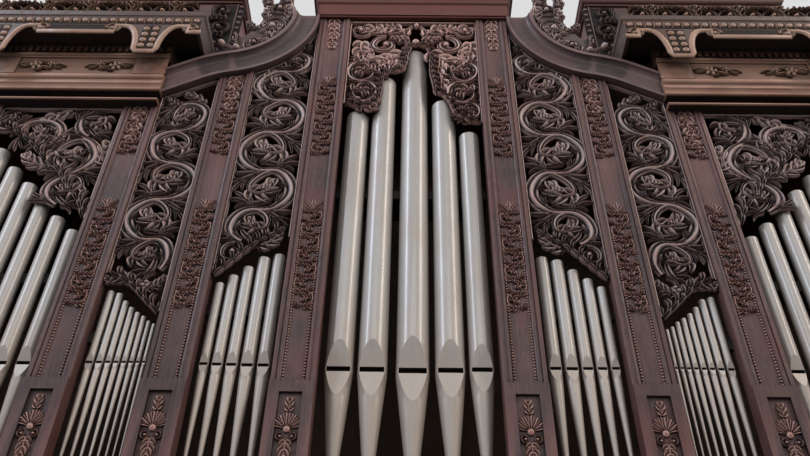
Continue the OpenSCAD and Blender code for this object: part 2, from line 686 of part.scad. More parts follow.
// Outline of the crest round the sweep's centre, with its balls at the lower end and its scrolled head
module crest_outline() {
    intersection() {
        circle(crest_r - seat, $fn = 180);
        polygon(concat([for (a = [crest_lo:6:crest_hi]) polar(crest_edge(a), a)],
            [polar(1.3 * crest_r, crest_hi), polar(1.6 * crest_r, (crest_lo + crest_hi) / 2),
             polar(1.3 * crest_r, crest_lo)]));
    }
    head = polar(crest_edge(crest_hi) + 0.09 * crest_r, crest_hi);
    translate(head) circle(0.1 * crest_r);
    stub = polar(crest_edge(crest_lo) + 0.08 * crest_r, crest_lo);
    ball = polar(0.725 * crest_r, crest_lo - 16);
    ball_r = 0.047 * crest_r;
    polygon([ball + [0, ball_r], stub + [0, 1.5 * ball_r], stub - [0, ball_r], ball - [0, ball_r]]);
    translate(ball) circle(ball_r * 1.15);
    translate(polar(0.86 * crest_r, crest_lo - 1)) circle(1.2 * ball_r);
}

// A carved crest that climbs the curved cornice from its balls, with two scrolls in relief
module crest(s) color([0.33, 0.25, 0.24]) at_front() on(s) {
    y0 = -band_out + 0.2 * crest_t;
    relief = 0.25 * crest_t;
    translate([sweep_x, 0, sweep_z]) {
        upright(y0, y0 + crest_t) crest_outline();
        upright(y0 - relief, y0 + lap) for (v = [[0.74, 0, 0.22], [0.78, -52, 0.17]]) {
            p = polar(v[0] * crest_r, v[1]);
            volute(p[0], p[1], v[2] * crest_r, 200, -1);
        }
    }
}

// Outline of a tower's attic with its inner wing, which stands on the curved roof
module attic_outline() {
    translate([outer_hi - lap, attic_z]) square([half_w - attic_in - outer_hi + lap, attic_h]);
    difference() {
        translate([wing_x, ent_z]) square([outer_hi - wing_x, attic_z + attic_h - ent_z]);
        under_swan(mouth_z, -(board_t + seat));
    }
}

cap_profile = sized([[0, 0], [0.3, 0], [0.3, 0.25], each quarter([0.3, 0.25], [0.9, 0.75], true),
    [1, 0.75], [1, 1]], 0.7 * cap_h, cap_h);

module tower_attic(s) color([0.24, 0.16, 0.15]) at_front() on(s) {
    x1 = half_w - attic_in;
    top = attic_z + attic_h - cap_h;
    deep = case_d - attic_set;
    difference() {
        upright(attic_set, case_d) attic_outline();
        translate([wing_x + board_t, attic_set + board_t, attic_z - 1])
            cube([x1 - wing_x - 2 * board_t, deep - 2 * board_t, top - attic_z + 1]);
        translate([wing_x + board_t, attic_set + board_t, ent_z - 1])
            cube([outer_hi - wing_x - 2 * board_t, deep - 2 * board_t, attic_z - ent_z + 1]);
        for (b = bay(outer_hi + stile_w, x1 - stile_w, 2))
            translate([b[0], attic_set - 1, attic_z + stile_w])
                cube([b[1] - b[0], sink + 1, top - attic_z - 2 * stile_w]);
    }
    translate([0, attic_set, 0]) moulded(cap_profile, wing_x, x1, deep, top);
}

roof_section = [[0, -case_d + board_t], [0, -pil_t], [board_t, -pil_t], [board_t, -case_d + board_t]];

module case_roof() color([0.24, 0.16, 0.15]) at_front() {
    for (s = SIDES) on(s) along_swan(roof_section);
    translate([-inner_lo, centre_back, centre_z])
        cube([2 * inner_lo, case_d - board_t - centre_back, board_t]);
}

plinth();
lower_front_frame();
lower_front_panels();
case_back();
impost();
toe_board();
centre_pipes();
pipe_rails();
centre_shade();
centre_cornice();
case_roof();
for (s = SIDES) {
    lower_side(s);
    upper_side(s);
    far_pilaster(s);
    outer_pilaster(s);
    mid_pilaster(s);
    inner_pilaster(s);
    inner_pipes(s);
    outer_pipes(s);
    tower_pipes(s);
    inner_shade(s);
    outer_shade(s);
    tower_shade(s);
    entablature(s);
    crown_cornice(s);
    swan_cornice(s);
    crest(s);
    tower_attic(s);
}
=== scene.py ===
import math

import bmesh
import bpy
import numpy as np
from mathutils import Matrix, Vector


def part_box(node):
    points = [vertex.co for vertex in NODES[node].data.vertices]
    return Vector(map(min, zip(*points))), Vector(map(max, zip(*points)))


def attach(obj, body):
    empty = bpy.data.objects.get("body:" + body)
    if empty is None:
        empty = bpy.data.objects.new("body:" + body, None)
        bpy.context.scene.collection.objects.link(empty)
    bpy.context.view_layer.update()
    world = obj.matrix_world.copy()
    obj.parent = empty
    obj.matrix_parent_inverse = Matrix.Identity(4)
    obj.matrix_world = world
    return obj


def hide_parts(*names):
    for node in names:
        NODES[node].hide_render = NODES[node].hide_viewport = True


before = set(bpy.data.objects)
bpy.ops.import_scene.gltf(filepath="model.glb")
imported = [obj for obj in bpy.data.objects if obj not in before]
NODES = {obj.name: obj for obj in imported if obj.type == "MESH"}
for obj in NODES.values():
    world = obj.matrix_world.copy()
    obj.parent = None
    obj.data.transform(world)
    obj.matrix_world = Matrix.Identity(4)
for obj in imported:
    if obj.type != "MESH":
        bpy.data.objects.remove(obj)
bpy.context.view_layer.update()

# Viewpoint of the photograph, in metres and degrees
CAMERA_PLACE = (0.0018, -3.8132, 1.2586)
CAMERA_PITCH = 41.098
CAMERA_YAW = 0.574
CAMERA_ROLL = 0.967
CAMERA_LENS = 35.94

# Places that the carving is fitted to, in metres
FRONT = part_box("far_pilaster_right")[0].y + 0.014
SHADE_LO, SHADE_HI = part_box("tower_shade_right")
SHADE_BACK = SHADE_HI.y
CENTRE_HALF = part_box("centre_shade")[1].x
CENTRE_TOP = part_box("centre_shade")[1].z
INNER_LO, INNER_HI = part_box("inner_shade_right")[0].x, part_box("inner_shade_right")[1].x
OUTER_LO, OUTER_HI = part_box("outer_shade_right")[0].x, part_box("outer_shade_right")[1].x
TOWER_LO, TOWER_HI = SHADE_LO.x, SHADE_HI.x
TOWER_TOP = SHADE_HI.z

# The curved cornice: its hollow sweep, its round one and the slope of its foot
SWEEP_R = 0.640
SWEEP = (INNER_LO + SWEEP_R, CENTRE_TOP)
SWELL_R = 0.600
SLOPE_A = math.radians(12)
SLOPE_B = math.radians(31)
JOIN = (SWEEP[0] - SWEEP_R * math.sin(SLOPE_A), SWEEP[1] - SWEEP_R * math.cos(SLOPE_A))
SWELL = (JOIN[0] - SWELL_R * math.sin(SLOPE_A), JOIN[1] - SWELL_R * math.cos(SLOPE_A))
FOOT = (SWELL[0] + SWELL_R * math.sin(SLOPE_B), SWELL[1] + SWELL_R * math.cos(SLOPE_B))


def swan_under(x):
    """Height of the underside of the curved cornice at x on the right side."""
    if x < JOIN[0]:
        return SWEEP[1] - math.sqrt(max(SWEEP_R ** 2 - (SWEEP[0] - x) ** 2, 0))
    if x < FOOT[0]:
        return SWELL[1] + math.sqrt(SWELL_R ** 2 - (x - SWELL[0]) ** 2)
    return FOOT[1] - (x - FOOT[0]) * math.tan(SLOPE_B)


def placed(name, data):
    """A new object in the scene."""
    made = bpy.data.objects.new(name, data)
    bpy.context.scene.collection.objects.link(made)
    return made


# Materials

class Shader:
    """The nodes of a material or of the world, added step by step."""

    def __init__(self, owner, last="Principled BSDF"):
        owner.use_nodes = True
        self.owner = owner
        self.tree = owner.node_tree
        self.last = self.tree.nodes[last]

    def feed(self, node, inputs):
        """Links inputs of a node to outputs, or sets them to constants."""
        for key, value in inputs.items():
            if isinstance(value, bpy.types.NodeSocket):
                self.tree.links.new(value, node.inputs[key])
            else:
                node.inputs[key].default_value = value

    def node(self, kind, inputs=None, **settings):
        """Adds a node and feeds it."""
        made = self.tree.nodes.new("ShaderNode" + kind)
        for key, value in settings.items():
            setattr(made, key, value)
        self.feed(made, inputs or {})
        return made

    def noise(self, place, scale, detail=3.0, rough=0.55, distort=0.0):
        """Soft noise over a place."""
        return self.node("TexNoise", {"Vector": place, "Scale": scale, "Detail": detail,
                                      "Roughness": rough, "Distortion": distort}).outputs["Fac"]

    def stretched(self, factors):
        """The object's own coordinates, stretched along its grain."""
        place = self.node("TexCoord").outputs["Object"]
        return self.node("Mapping", {"Vector": place, "Scale": factors}).outputs["Vector"]

    def ramp(self, value, stops):
        """Turns a value into a tone by (place, tone) stops."""
        made = self.node("ValToRGB", {"Fac": value})
        points = made.color_ramp.elements
        while len(points) < len(stops):
            points.new(0.5)
        for point, (place, tone) in zip(points, stops):
            point.position = place
            point.color = (tone, tone, tone, 1)
        return made.outputs["Color"]

    def mix(self, factor, a, b):
        """Mixes two colours."""
        a, b = ((*tone, 1) if isinstance(tone, tuple) else tone for tone in (a, b))
        return self.node("Mix", {0: factor, 6: a, 7: b}, data_type="RGBA").outputs[2]

    def maths(self, kind, a, b):
        """An operation on two values."""
        return self.node("Math", {0: a, 1: b}, operation=kind).outputs[0]

    def shelter(self, reach, stops, samples=4):
        """A ramp over how open a point is within a reach in metres."""
        made = self.node("AmbientOcclusion", {"Distance": reach}, samples=samples)
        return self.ramp(made.outputs["AO"], stops)

    def bump(self, height, strength, distance):
        """Raises the surface by a height."""
        made = self.node("Bump", {"Strength": strength, "Distance": distance, "Height": height})
        self.feed(self.last, {"Normal": made.outputs["Normal"]})

    def two_tones(self, key, lit, seen):
        """Gives an input one tone for the light on the object, and one for the eye, gloss and glass."""
        rays = self.node("LightPath").outputs
        eye = rays["Is Camera Ray"]
        for other in ("Is Glossy Ray", "Is Transmission Ray"):
            eye = self.maths("MAXIMUM", eye, rays[other])
        self.feed(self.last, {key: self.mix(eye, lit, seen)})


# Grain of upright, level and carved wood: how much its pattern is squeezed along each axis
GRAIN_Z, GRAIN_X, GRAIN_CARVED = (70, 70, 3.2), (3.2, 70, 70), (40, 40, 9)

# How a wood's colour changes in mellow clouds, on edges that are rubbed and carry a painted highlight, and in
# red patches
MELLOW, WEAR_AND_HIGHLIGHT = (1.4, 1.12, 0.98), (2.5, 2.12, 1.9)
RUDDY, RUDDY_CARVED = (1.3, 0.78, 0.74), (1.5, 0.98, 0.8)

# How far painted shade reaches out of corners, recesses and from under overhangs, in metres: near and far, on
# wood and on metal
SHADE_REACH, SHADE_REACH_CARVED, FAR_SHADE_REACH = 0.04, 0.05, 0.4
SHADE_REACH_METAL, FAR_SHADE_REACH_METAL = 0.014, 0.5

# Tones of the pipe metal, and the height below which a painted warm light tints it towards the feet
TIN_DARK, TIN_LIGHT, TIN_DULL = (0.338, 0.316, 0.294), (0.440, 0.412, 0.386), (0.38, 0.315, 0.262)
TIN_PAINTED_WARM_LIGHT, TIN_SPECK = (0.43, 0.352, 0.292), (0.24, 0.21, 0.19)
TIN_PAINTED_SHADE, TIN_PAINTED_FAR_SHADE = (0.09, 0.07, 0.055), (0.10, 0.082, 0.068)
WARM_LIGHT_TOP, WARM_LIGHT_FADE = 3.66, 2.6


def tinted(colour, factor):
    """A colour times one factor, or times one factor for each channel."""
    factors = factor if isinstance(factor, tuple) else (factor,) * 3
    return tuple(min(1, v * f) for v, f in zip(colour, factors))


def wood(name, dark, light, grain=GRAIN_Z, gloss=0.4, wear_and_highlight=0.5, carved=False, coat=0.06):
    """Old varnished wood with its grain along the axis that is scaled least."""
    s = Shader(bpy.data.materials.new(name))
    along = s.stretched(grain)
    rings = s.noise(along, 1.0, 6, 0.6, 0.9)
    pores = s.noise(along, 4.2, 2, 0.5, 0.2)
    plain = s.stretched((1, 1, 1))
    clouds = s.noise(plain, 2.3, 3, 0.6)
    smudge = s.noise(plain, 17.0, 4, 0.65)
    patch = s.noise(plain, 7.0 if carved else 2.7, 2, 0.5, 0.5)

    colour = s.mix(s.ramp(rings, [(0.3, 0.0), (0.7, 1.0)]), dark, light)
    colour = s.mix(s.ramp(clouds, [(0.42, 0.0), (0.68, 0.55)]), colour, tinted(light, MELLOW))
    colour = s.mix(s.ramp(pores, [(0.34, 0.7), (0.44, 0.0)]), colour, tinted(dark, 0.42))
    point = s.node("NewGeometry").outputs["Pointiness"]
    # Painted shade in the creases of carving, where the surface bends inward.
    if carved:
        colour = s.mix(s.ramp(point, [(0.43, 0.9), (0.492, 0.0)]), colour, tinted(dark, 0.2))
    # Edges that stand out are paler: rubbed wear, and a painted highlight on ridges.
    colour = s.mix(s.ramp(point, [(0.5, 0.0), (0.565, wear_and_highlight)]), colour, tinted(light, WEAR_AND_HIGHLIGHT))
    ruddy = tinted(light, RUDDY_CARVED if carved else RUDDY)
    colour = s.mix(s.ramp(patch, [(0.54, 0.0), (0.66, 0.5)]), colour, ruddy)
    # Painted shade where nearby surfaces close in: corners, recesses and gaps.
    near_shade = s.shelter(SHADE_REACH_CARVED if carved else SHADE_REACH, [(0.3, 0.88), (0.82, 0.0)], 6)
    colour = s.mix(near_shade, colour, tinted(dark, 0.25))
    # Farther painted shade under overhangs and in deep recesses.
    colour = s.mix(s.shelter(FAR_SHADE_REACH, [(0.22, 0.8), (0.6, 0.0)]), colour, tinted(dark, 0.12))
    # Painted shade in the grooves of carving, from the hollow attribute.
    groove_shade = s.node("Attribute", attribute_name="hollow").outputs["Fac"]
    colour = s.mix(s.maths("MULTIPLY", groove_shade, 0.96), colour, tinted(dark, 0.1))

    rough = s.ramp(smudge, [(0.3, gloss), (0.7, gloss + 0.24)])
    rough = s.mix(groove_shade, s.mix(near_shade, rough, (0.9, 0.9, 0.9)), (0.97, 0.97, 0.97))
    s.feed(s.last, {"Base Color": colour, "Roughness": rough, "Specular IOR Level": 0.26,
                    "Coat Weight": coat, "Coat Roughness": 0.22})
    height = s.maths("ADD", s.maths("MULTIPLY", rings, 0.5), s.maths("MULTIPLY", pores, 0.6))
    s.bump(s.maths("ADD", height, s.maths("MULTIPLY", smudge, 0.5)), 0.35, 0.0016 if carved else 0.001)
    return s.owner


def carved_wood(name, dark, light, gloss=0.3, wear_and_highlight=1.0):
    """The same wood on carving, with ridges paler from wear and a painted highlight, and painted shade in its
    creases.
    """
    return wood(name, dark, light, GRAIN_CARVED, gloss, wear_and_highlight, True)


def tin(name):
    """Aged pipe metal: satin, streaked from top to bottom, dulled in patches, with a painted warm light
    towards the feet and painted shade where pipes stand close.
    """
    s = Shader(bpy.data.materials.new(name))
    streak = s.noise(s.stretched((46, 46, 0.9)), 1.0, 4, 0.6, 0.3)
    plain = s.stretched((1, 1, 1))
    cloud = s.noise(plain, 3.1, 4, 0.6, 0.4)
    speck = s.noise(plain, 95.0, 2, 0.5)
    colour = s.mix(s.ramp(streak, [(0.3, 0.0), (0.72, 1.0)]), TIN_DARK, TIN_LIGHT)
    colour = s.mix(s.ramp(cloud, [(0.45, 0.0), (0.7, 0.5)]), colour, TIN_DULL)
    # Painted warm reflected light, growing towards the feet.
    low = s.maths("SUBTRACT", WARM_LIGHT_TOP, s.node("SeparateXYZ", {0: plain}).outputs["Z"])
    feet = s.ramp(s.maths("MULTIPLY", low, WARM_LIGHT_FADE), [(0.0, 0.0), (1.0, 0.62)])
    colour = s.mix(feet, colour, TIN_PAINTED_WARM_LIGHT)
    colour = s.mix(s.ramp(speck, [(0.66, 0.0), (0.72, 0.4)]), colour, TIN_SPECK)
    # Painted shade where neighbouring pipes close in, and farther painted shade in deep recesses.
    colour = s.mix(s.shelter(SHADE_REACH_METAL, [(0.2, 0.7), (0.65, 0.0)], 6), colour, TIN_PAINTED_SHADE)
    colour = s.mix(s.shelter(FAR_SHADE_REACH_METAL, [(0.14, 0.9), (0.6, 0.0)]), colour, TIN_PAINTED_FAR_SHADE)
    s.feed(s.last, {"Base Color": colour, "Metallic": 0.14, "Coat Weight": 0.4, "Coat Roughness": 0.2,
                    "Roughness": s.ramp(cloud, [(0.3, 0.44), (0.75, 0.56)])})
    s.bump(s.maths("ADD", s.maths("MULTIPLY", streak, 0.7), s.maths("MULTIPLY", cloud, 0.8)), 0.25, 0.002)
    return s.owner


OAK = ((0.034, 0.019, 0.019), (0.099, 0.057, 0.055))
CASE = wood("case_wood_upright", *OAK)
CASE_ACROSS = wood("case_wood_across", *OAK, GRAIN_X)
MOULDING = wood("moulding_wood", (0.033, 0.024, 0.025), (0.086, 0.064, 0.066), GRAIN_X, 0.36, 0.7)
# A paler, warmer copy of the moulding wood, painted as lit from below, for the entablature.
CORNICE = wood("moulding_wood_warm", (0.074, 0.044, 0.035), (0.205, 0.138, 0.110), GRAIN_X, 0.36, 0.8)
# A much darker copy of the moulding wood, painted as the shade on the crown.
CROWN = wood("moulding_wood_crown", (0.016, 0.010, 0.008), (0.040, 0.026, 0.022), GRAIN_X, 0.42, 0.7)
FASCIA = wood("moulding_wood_red", (0.032, 0.010, 0.008), (0.080, 0.028, 0.022), GRAIN_X, 0.42, 0.4)
# Near-black wood for parts inside the case, painted as the shade there.
INNER = wood("inner_wood", (0.012, 0.009, 0.008), (0.03, 0.022, 0.018), GRAIN_Z, 0.75, 0.1, coat=0.0)
BOARDS = wood("plain_boards", (0.040, 0.028, 0.022), (0.105, 0.078, 0.062), GRAIN_Z, 0.6, 0.3, coat=0.0)
CARVED = carved_wood("carved_wood", (0.072, 0.059, 0.061), (0.232, 0.194, 0.198))
CENTRE = carved_wood("carved_wood_centre", (0.090, 0.066, 0.066), (0.320, 0.240, 0.236))
TRIM = carved_wood("carved_wood_warm", (0.066, 0.045, 0.034), (0.190, 0.134, 0.104), 0.34, 0.9)
ORNAMENT = carved_wood("carved_wood_red", (0.068, 0.044, 0.042), (0.215, 0.140, 0.130), 0.34, 0.9)
# A paler copy of the carved wood, painted as lit, for the flowers in the frieze under the crown.
FLOWERS = carved_wood("carved_wood_light", (0.12, 0.085, 0.066), (0.34, 0.26, 0.20), 0.32)
TIN = tin("pipe_metal")


# Carving

# Cross-sections as (across, rise, darkness) points from edge to edge; darkness is painted shade in grooves
# and at the edges
SECTIONS = {
    "stem": ((-1, 0.1, 0.9), (-0.9, 0.6, 0.3), (-0.74, 0.86, 0), (-0.46, 0.34, 1), (-0.22, 0.84, 0),
             (0, 1, 0), (0.22, 0.84, 0), (0.46, 0.34, 1), (0.74, 0.86, 0), (0.9, 0.6, 0.3), (1, 0.1, 0.9)),
    "rib": ((-1, 0.05, 0.7), (-0.7, 0.62, 0), (0, 1, 0), (0.7, 0.62, 0), (1, 0.05, 0.7)),
    "finger": ((-1, 0.1, 0.5), (-0.78, 0.9, 0), (0, 0.36, 1), (0.78, 0.9, 0), (1, 0.1, 0.5)),
    "rail": ((-1, 0.0, 0), (-1, 0.6, 0), (-0.7, 1, 0), (0.1, 1, 0), (0.25, 0.5, 1), (1, 0.5, 0), (1, 0, 0)),
}

# Edges sharper than this stay sharp
SHARP = math.radians(38)

# Circles of a vine: the least with a branch of its own, and the least with a stem of full width
LARGE, FULL = 0.06, 0.13

# Shapes of a knob and of a rosette from rim to middle, as shares of radius and height
KNOB = ((1, 0.0), (0.96, 0.35), (0.8, 0.72), (0.5, 0.94), (0.2, 1.0))
ROSETTE = ((1, 0.05), (0.9, 0.6), (0.68, 0.95), (0.42, 0.7), (0.3, 0.75), (0.15, 1.05))


def taper(first, last, n, swell=0.0):
    """Even steps from first to last, with a swell in the middle."""
    t = np.linspace(0, 1, n)
    return first + (last - first) * t + swell * np.sin(np.pi * t)


def bend(start, heading, length, turn, n=9, ease=0.0):
    """A path that leaves start at a heading and turns, in degrees; ease gathers the turn at its end."""
    t = (np.arange(n - 1) + 0.5) / (n - 1)
    angle = np.radians(heading + turn * t ** (1 + ease))
    steps = np.column_stack([np.cos(angle), np.sin(angle)]) * length / (n - 1)
    return np.vstack([start, np.asarray(start) + np.cumsum(steps, axis=0)])


def wound(centre, r, a_in, sweep, hand, turns, eye, n):
    """Round a circle from a_in over a sweep in degrees, then winding in to the eye."""
    total = sweep + 360 * turns
    turned = np.linspace(0, total, n)
    inward = np.clip((turned - sweep * 0.8) / (total - sweep * 0.8), 0, 1)
    radius = r * eye ** inward
    a = np.radians(a_in + hand * turned)
    return np.column_stack([centre[0] + radius * np.cos(a), centre[1] + radius * np.sin(a)])


def gone_along(path):
    """How far each point of a path is from its start, measured along it."""
    return np.concatenate([[0], np.cumsum(np.linalg.norm(np.diff(path, axis=0), axis=1))])


def closed_tube(rings, m):
    """The faces of a closed solid made of rings of m points each."""
    faces = [(k * m + j, k * m + (j + 1) % m, (k + 1) * m + (j + 1) % m, (k + 1) * m + j)
             for k in range(rings - 1) for j in range(m)]
    return faces + [tuple(range(m - 1, -1, -1)), tuple(range((rings - 1) * m, rings * m))]


class Carving:
    """Closed solids in relief, drawn in X and Z and raised from a plane towards the front."""

    def __init__(self, back, sway=0.0):
        self.back = back
        self.sway = sway
        self.count = 0
        self.points, self.dark, self.faces = [], [], []

    def add(self, points, dark, faces):
        """Adds a solid; dark is painted shade, 1 where a point lies in a hollow."""
        self.points.append(points)
        self.dark.append(dark)
        self.faces += [tuple(self.count + i for i in face) for face in faces]
        self.count += len(points)

    def swayed(self, path):
        """Moves points a little, so that no two scrolls have quite the same shape."""
        x, z = path[:, 0], path[:, 1]
        across, up = np.sin(19 * z + 6 * x), np.sin(17 * x - 8 * z)
        return np.column_stack([x + self.sway * across, z + self.sway * up])

    def stroke(self, path, width, lift, kind="stem"):
        """A band along a path; width and lift are one value or one for each point."""
        path = np.asarray(path, float)
        if kind != "rail":
            path = self.swayed(path)
        n = len(path)
        along = np.gradient(path, axis=0)
        along /= np.linalg.norm(along, axis=1, keepdims=True) + 1e-9
        # The two back corners of each section carry full painted shade.
        section = np.array(SECTIONS[kind] + ((0.9, -0.01, 1), (-0.9, -0.01, 1)))
        half = np.broadcast_to(np.asarray(width, float), (n,))[:, None] / 2
        rise = np.broadcast_to(np.asarray(lift, float), (n,))[:, None]
        x = path[:, :1] - along[:, 1:] * section[:, 0] * half
        z = path[:, 1:] + along[:, :1] * section[:, 0] * half
        front = self.back - section[:, 1] * rise
        front[:, -2:] = self.back
        points = np.stack([x, front, z], axis=2).reshape(-1, 3)
        self.add(points, np.tile(section[:, 2], n), closed_tube(n, len(section)))

    def boss(self, place, r, lift, petals=0, n=14):
        """A round knob, or a rosette if it has petals."""
        place = self.swayed(np.array([place], float))[0]
        n = petals * 6 if petals else n
        turn = np.arange(n) * 2 * np.pi / n
        wave = np.abs(np.cos(turn * petals / 2)) if petals else np.ones(n)
        points, dark = [], []
        for share, up in ROSETTE if petals else KNOB:
            lobed = petals and share > 0.35
            reach = r * share * (0.72 + 0.28 * wave if lobed else np.ones(n))
            high = up * (0.55 + 0.45 * wave if lobed else np.ones(n))
            points.append(np.column_stack([place[0] + reach * np.cos(turn), self.back - lift * high,
                                           place[1] + reach * np.sin(turn)]))
            # Painted shade between the petals and round the rim at the back.
            dark.append(1 - wave if lobed else np.zeros(n))
        rim = points[0].copy()
        rim[:, 1] = self.back
        points, dark = [rim] + points, [np.ones(n)] + dark
        self.add(np.vstack(points), np.concatenate(dark), closed_tube(len(points), n))

    def leaf(self, path, width, lift, lobes=3):
        """An acanthus leaf: hollow fingers that leave a rib on both sides and shorten towards its tip."""
        path = np.asarray(path, float)
        gone = gone_along(path)
        spacing = gone[-1] / (lobes + 0.3)
        ahead = np.gradient(path, axis=0)
        for k in range(lobes + 1):
            share = (k + 0.1) / (lobes + 0.5)
            at = share * gone[-1]
            start, way = ([np.interp(at, gone, of[:, i]) for i in (0, 1)] for of in (path, ahead))
            heading = math.degrees(math.atan2(way[1], way[0]))
            long = width * (0.52 + 0.5 * share if share < 0.4 else 0.96 - 0.62 * share)
            for side in (-1, 1):
                finger = bend(start, heading + side * (78 - 46 * share), long, -side * 58, 6, 0.4)
                self.stroke(finger, taper(spacing, spacing * 0.3, 6, spacing * 0.42),
                            taper(lift * 0.7, lift * 0.6, 6, lift * 0.45), "finger")
        n = len(path)
        self.stroke(path, taper(width * 0.2, width * 0.08, n), taper(lift * 1.2, lift * 0.8, n), "rib")

    def sprigs(self, rows, width, lift, n=8):
        """Leaves, each given by the x and z of its start, its heading, length and turn."""
        for x, z, heading, long, turn in rows:
            self.leaf(bend((x, z), heading, long, turn, n), width, lift)

    def finger(self, start, heading, long, turn, lift, wide=0.2, n=9):
        """A hollow leaf finger with a round tip."""
        t = np.linspace(0, 1, n)
        width = long * wide * (0.55 + 0.75 * t - 0.35 * t * t) * np.sqrt(1 - 0.97 * t ** 6)
        self.stroke(bend(start, heading, long, turn, n, 0.5), width,
                    lift * (0.6 + 0.5 * np.sin(np.pi * t ** 0.8)), "finger")

    def spray(self, start, heading, long, lift, count, spread, turn):
        """Leaf fingers that fan out from one point and curl the same way."""
        for k in range(count):
            share = k / (count - 1) - 0.5
            reach = long * (1 - 0.8 * share * share - 0.3 * share * math.copysign(1, turn))
            self.finger(start, heading + spread * share * 0.6, reach, turn + spread * share * 0.8, lift)

    def scroll(self, centre, r, a_in, sweep, hand, width, lift, turns=1.2, eye=0.2, leaves=2, n=44):
        """A stem that winds in to a knob, with leaves inside its turn."""
        path = wound(centre, r, a_in, sweep, hand, turns, eye, n)
        self.stroke(path, taper(width * 0.9, width * 0.34, n, width * 0.25), taper(lift * 0.85, lift, n))
        self.boss(centre, r * eye * 1.15, lift * 1.3, petals=5 if r > 0.1 else 0, n=10)
        for k in range(leaves):
            turned = sweep + (20, 135, 250)[k]
            a = a_in + hand * turned
            start = path[min(n - 1, int(n * turned / (sweep + 360 * turns)))]
            self.leaf(bend(start, a + hand * 118, r * 0.62, hand * 66, 7), r * 0.5, lift * 0.85, 2)

    @staticmethod
    def around(centre, r, a):
        """The point at radius r and turn a, in degrees, round a centre."""
        a = math.radians(a)
        return np.array([centre[0] + r * math.cos(a), centre[1] + r * math.sin(a)])

    def branch(self, centre, r, a_in, sweep, hand, width, lift):
        """A wide stem round a circle; its branch turns in and ends in a curled leaf."""
        n = 11 if r < LARGE else 18
        swell = np.sin(np.pi * np.linspace(0, 1, n))
        self.stroke(wound(centre, r, a_in - hand * 4, sweep + 8, hand, 0, 1, n),
                    width * (0.55 + 0.55 * swell), lift * (0.85 + 0.2 * swell))
        if r < LARGE:
            start = self.around(centre, r * 0.8, a_in + hand * sweep * 0.6)
            curled = bend(start, a_in + hand * (sweep * 0.6 + 118), r * 1.15, hand * 150, 8)
            self.leaf(curled, r * 1.1, lift * 1.2, 2)
            return
        n = 24
        curl = wound(centre, r * 0.97, a_in + hand * sweep * 0.72, sweep * 0.28, hand, 0.33, 0.44, n)
        self.stroke(curl, taper(width * 0.62, width * 0.24, n, width * 0.1), taper(lift * 0.8, lift, n))
        step = curl[-1] - curl[-3]
        heading = math.degrees(math.atan2(step[1], step[0]))
        self.leaf(bend(curl[-1] - 2 * step, heading, r * 1.12, hand * 140, 9), r, lift * 1.3, 3)
        self.boss(centre, r * 0.19, lift * 1.5, petals=5)
        for share in (0.2, 0.5):
            a = a_in + hand * sweep * share
            start = self.around(centre, r * 0.82, a)
            self.spray(start, a + hand * 128, r * 0.62, lift * 1.1, 3, 66, hand * 62)
        a = a_in + hand * (sweep + 48)
        self.spray(self.around(centre, r * 0.86, a), a + hand * 66, r * 0.95, lift, 4, 74, hand * 40)
        n = 12
        start = self.around(centre, r * 1.12, a_in - hand * 46)
        self.stroke(bend(start, a_in + hand * 84, r * 1.35, hand * 50, n),
                    np.sin(np.pi * np.linspace(0.06, 0.97, n)) * width * 0.42, lift * 1.15, "finger")

    def vine(self, circles, hand, a_first, a_last, width, lift):
        """A stem that winds left and right round touching circles, with leaves at each crossing."""
        def towards(k, other):
            (x, z, _), (to_x, to_z, _) = circles[k], circles[other]
            return math.degrees(math.atan2(to_z - z, to_x - x))

        last = len(circles) - 1
        for k, (x, z, r) in enumerate(circles):
            a_in = towards(k, k - 1) if k else a_first
            a_out = towards(k, k + 1) if k < last else a_last
            turned = hand * (1 if k % 2 == 0 else -1)
            sweep = (turned * (a_out - a_in)) % 360
            self.branch((x, z), r, a_in, sweep, turned, width * min(1, r / FULL), lift)
            crossings = [(a_in, 34, 214)]
            if k == last:
                crossings.append((a_out, -30, 70))
            for a, curl, back in crossings:
                cross, way = self.around((x, z), r, a), self.around((0, 0), 1, a + turned * 90)
                if r < LARGE:
                    for at, out, long, turn, wide in ((0.16, 88, 1, 26, 0.9), (-0.4, 222, 0.8, 55, 0.8)):
                        path = bend(cross + way * at * r, a + turned * out, r * long, turned * turn, 7)
                        self.leaf(path, r * wide, lift, 2)
                    continue
                self.spray(cross + way * 0.1 * r, a + turned * 88, r * 1.2, lift, 4, 84, turned * curl)
                self.spray(cross - way * 0.34 * r, a + turned * back, r * 1.12, lift, 4, 86, turned * 58)

    def block(self, x0, x1, y0, y1, z0, z1, dark=0.0):
        """A rectangular block, plain or painted dark all over as shade."""
        points = np.array([(x, y, z) for z in (z0, z1) for x, y in ((x0, y0), (x1, y0), (x1, y1), (x0, y1))])
        faces = [(0, 1, 2, 3), (4, 7, 6, 5), (0, 4, 5, 1), (1, 5, 6, 2), (2, 6, 7, 3), (3, 7, 4, 0)]
        self.add(points, np.full(8, dark), faces)

    def course(self, profile, x0, x1, back, z, flush=False, thick=0.05):
        """A moulding run round the front and the ends of a block; the end at x0 may be flush."""
        loop = list(profile) + [(-thick, profile[-1][1]), (-thick, profile[0][1])]
        points = []
        for out, up in loop:
            near = x0 - (0 if flush and out > 0 else out)
            points += [(x, y, z + up) for x, y in ((near, back), (near, FRONT - out),
                                                   (x1 + out, FRONT - out), (x1 + out, back))]
        m = len(loop)
        faces = [(4 * i + k, 4 * i + k + 1, 4 * ((i + 1) % m) + k + 1, 4 * ((i + 1) % m) + k)
                 for i in range(m) for k in range(3)]
        faces += [tuple(4 * i for i in range(m)), tuple(4 * i + 3 for i in reversed(range(m)))]
        self.add(np.array(points), np.zeros(len(points)), faces)

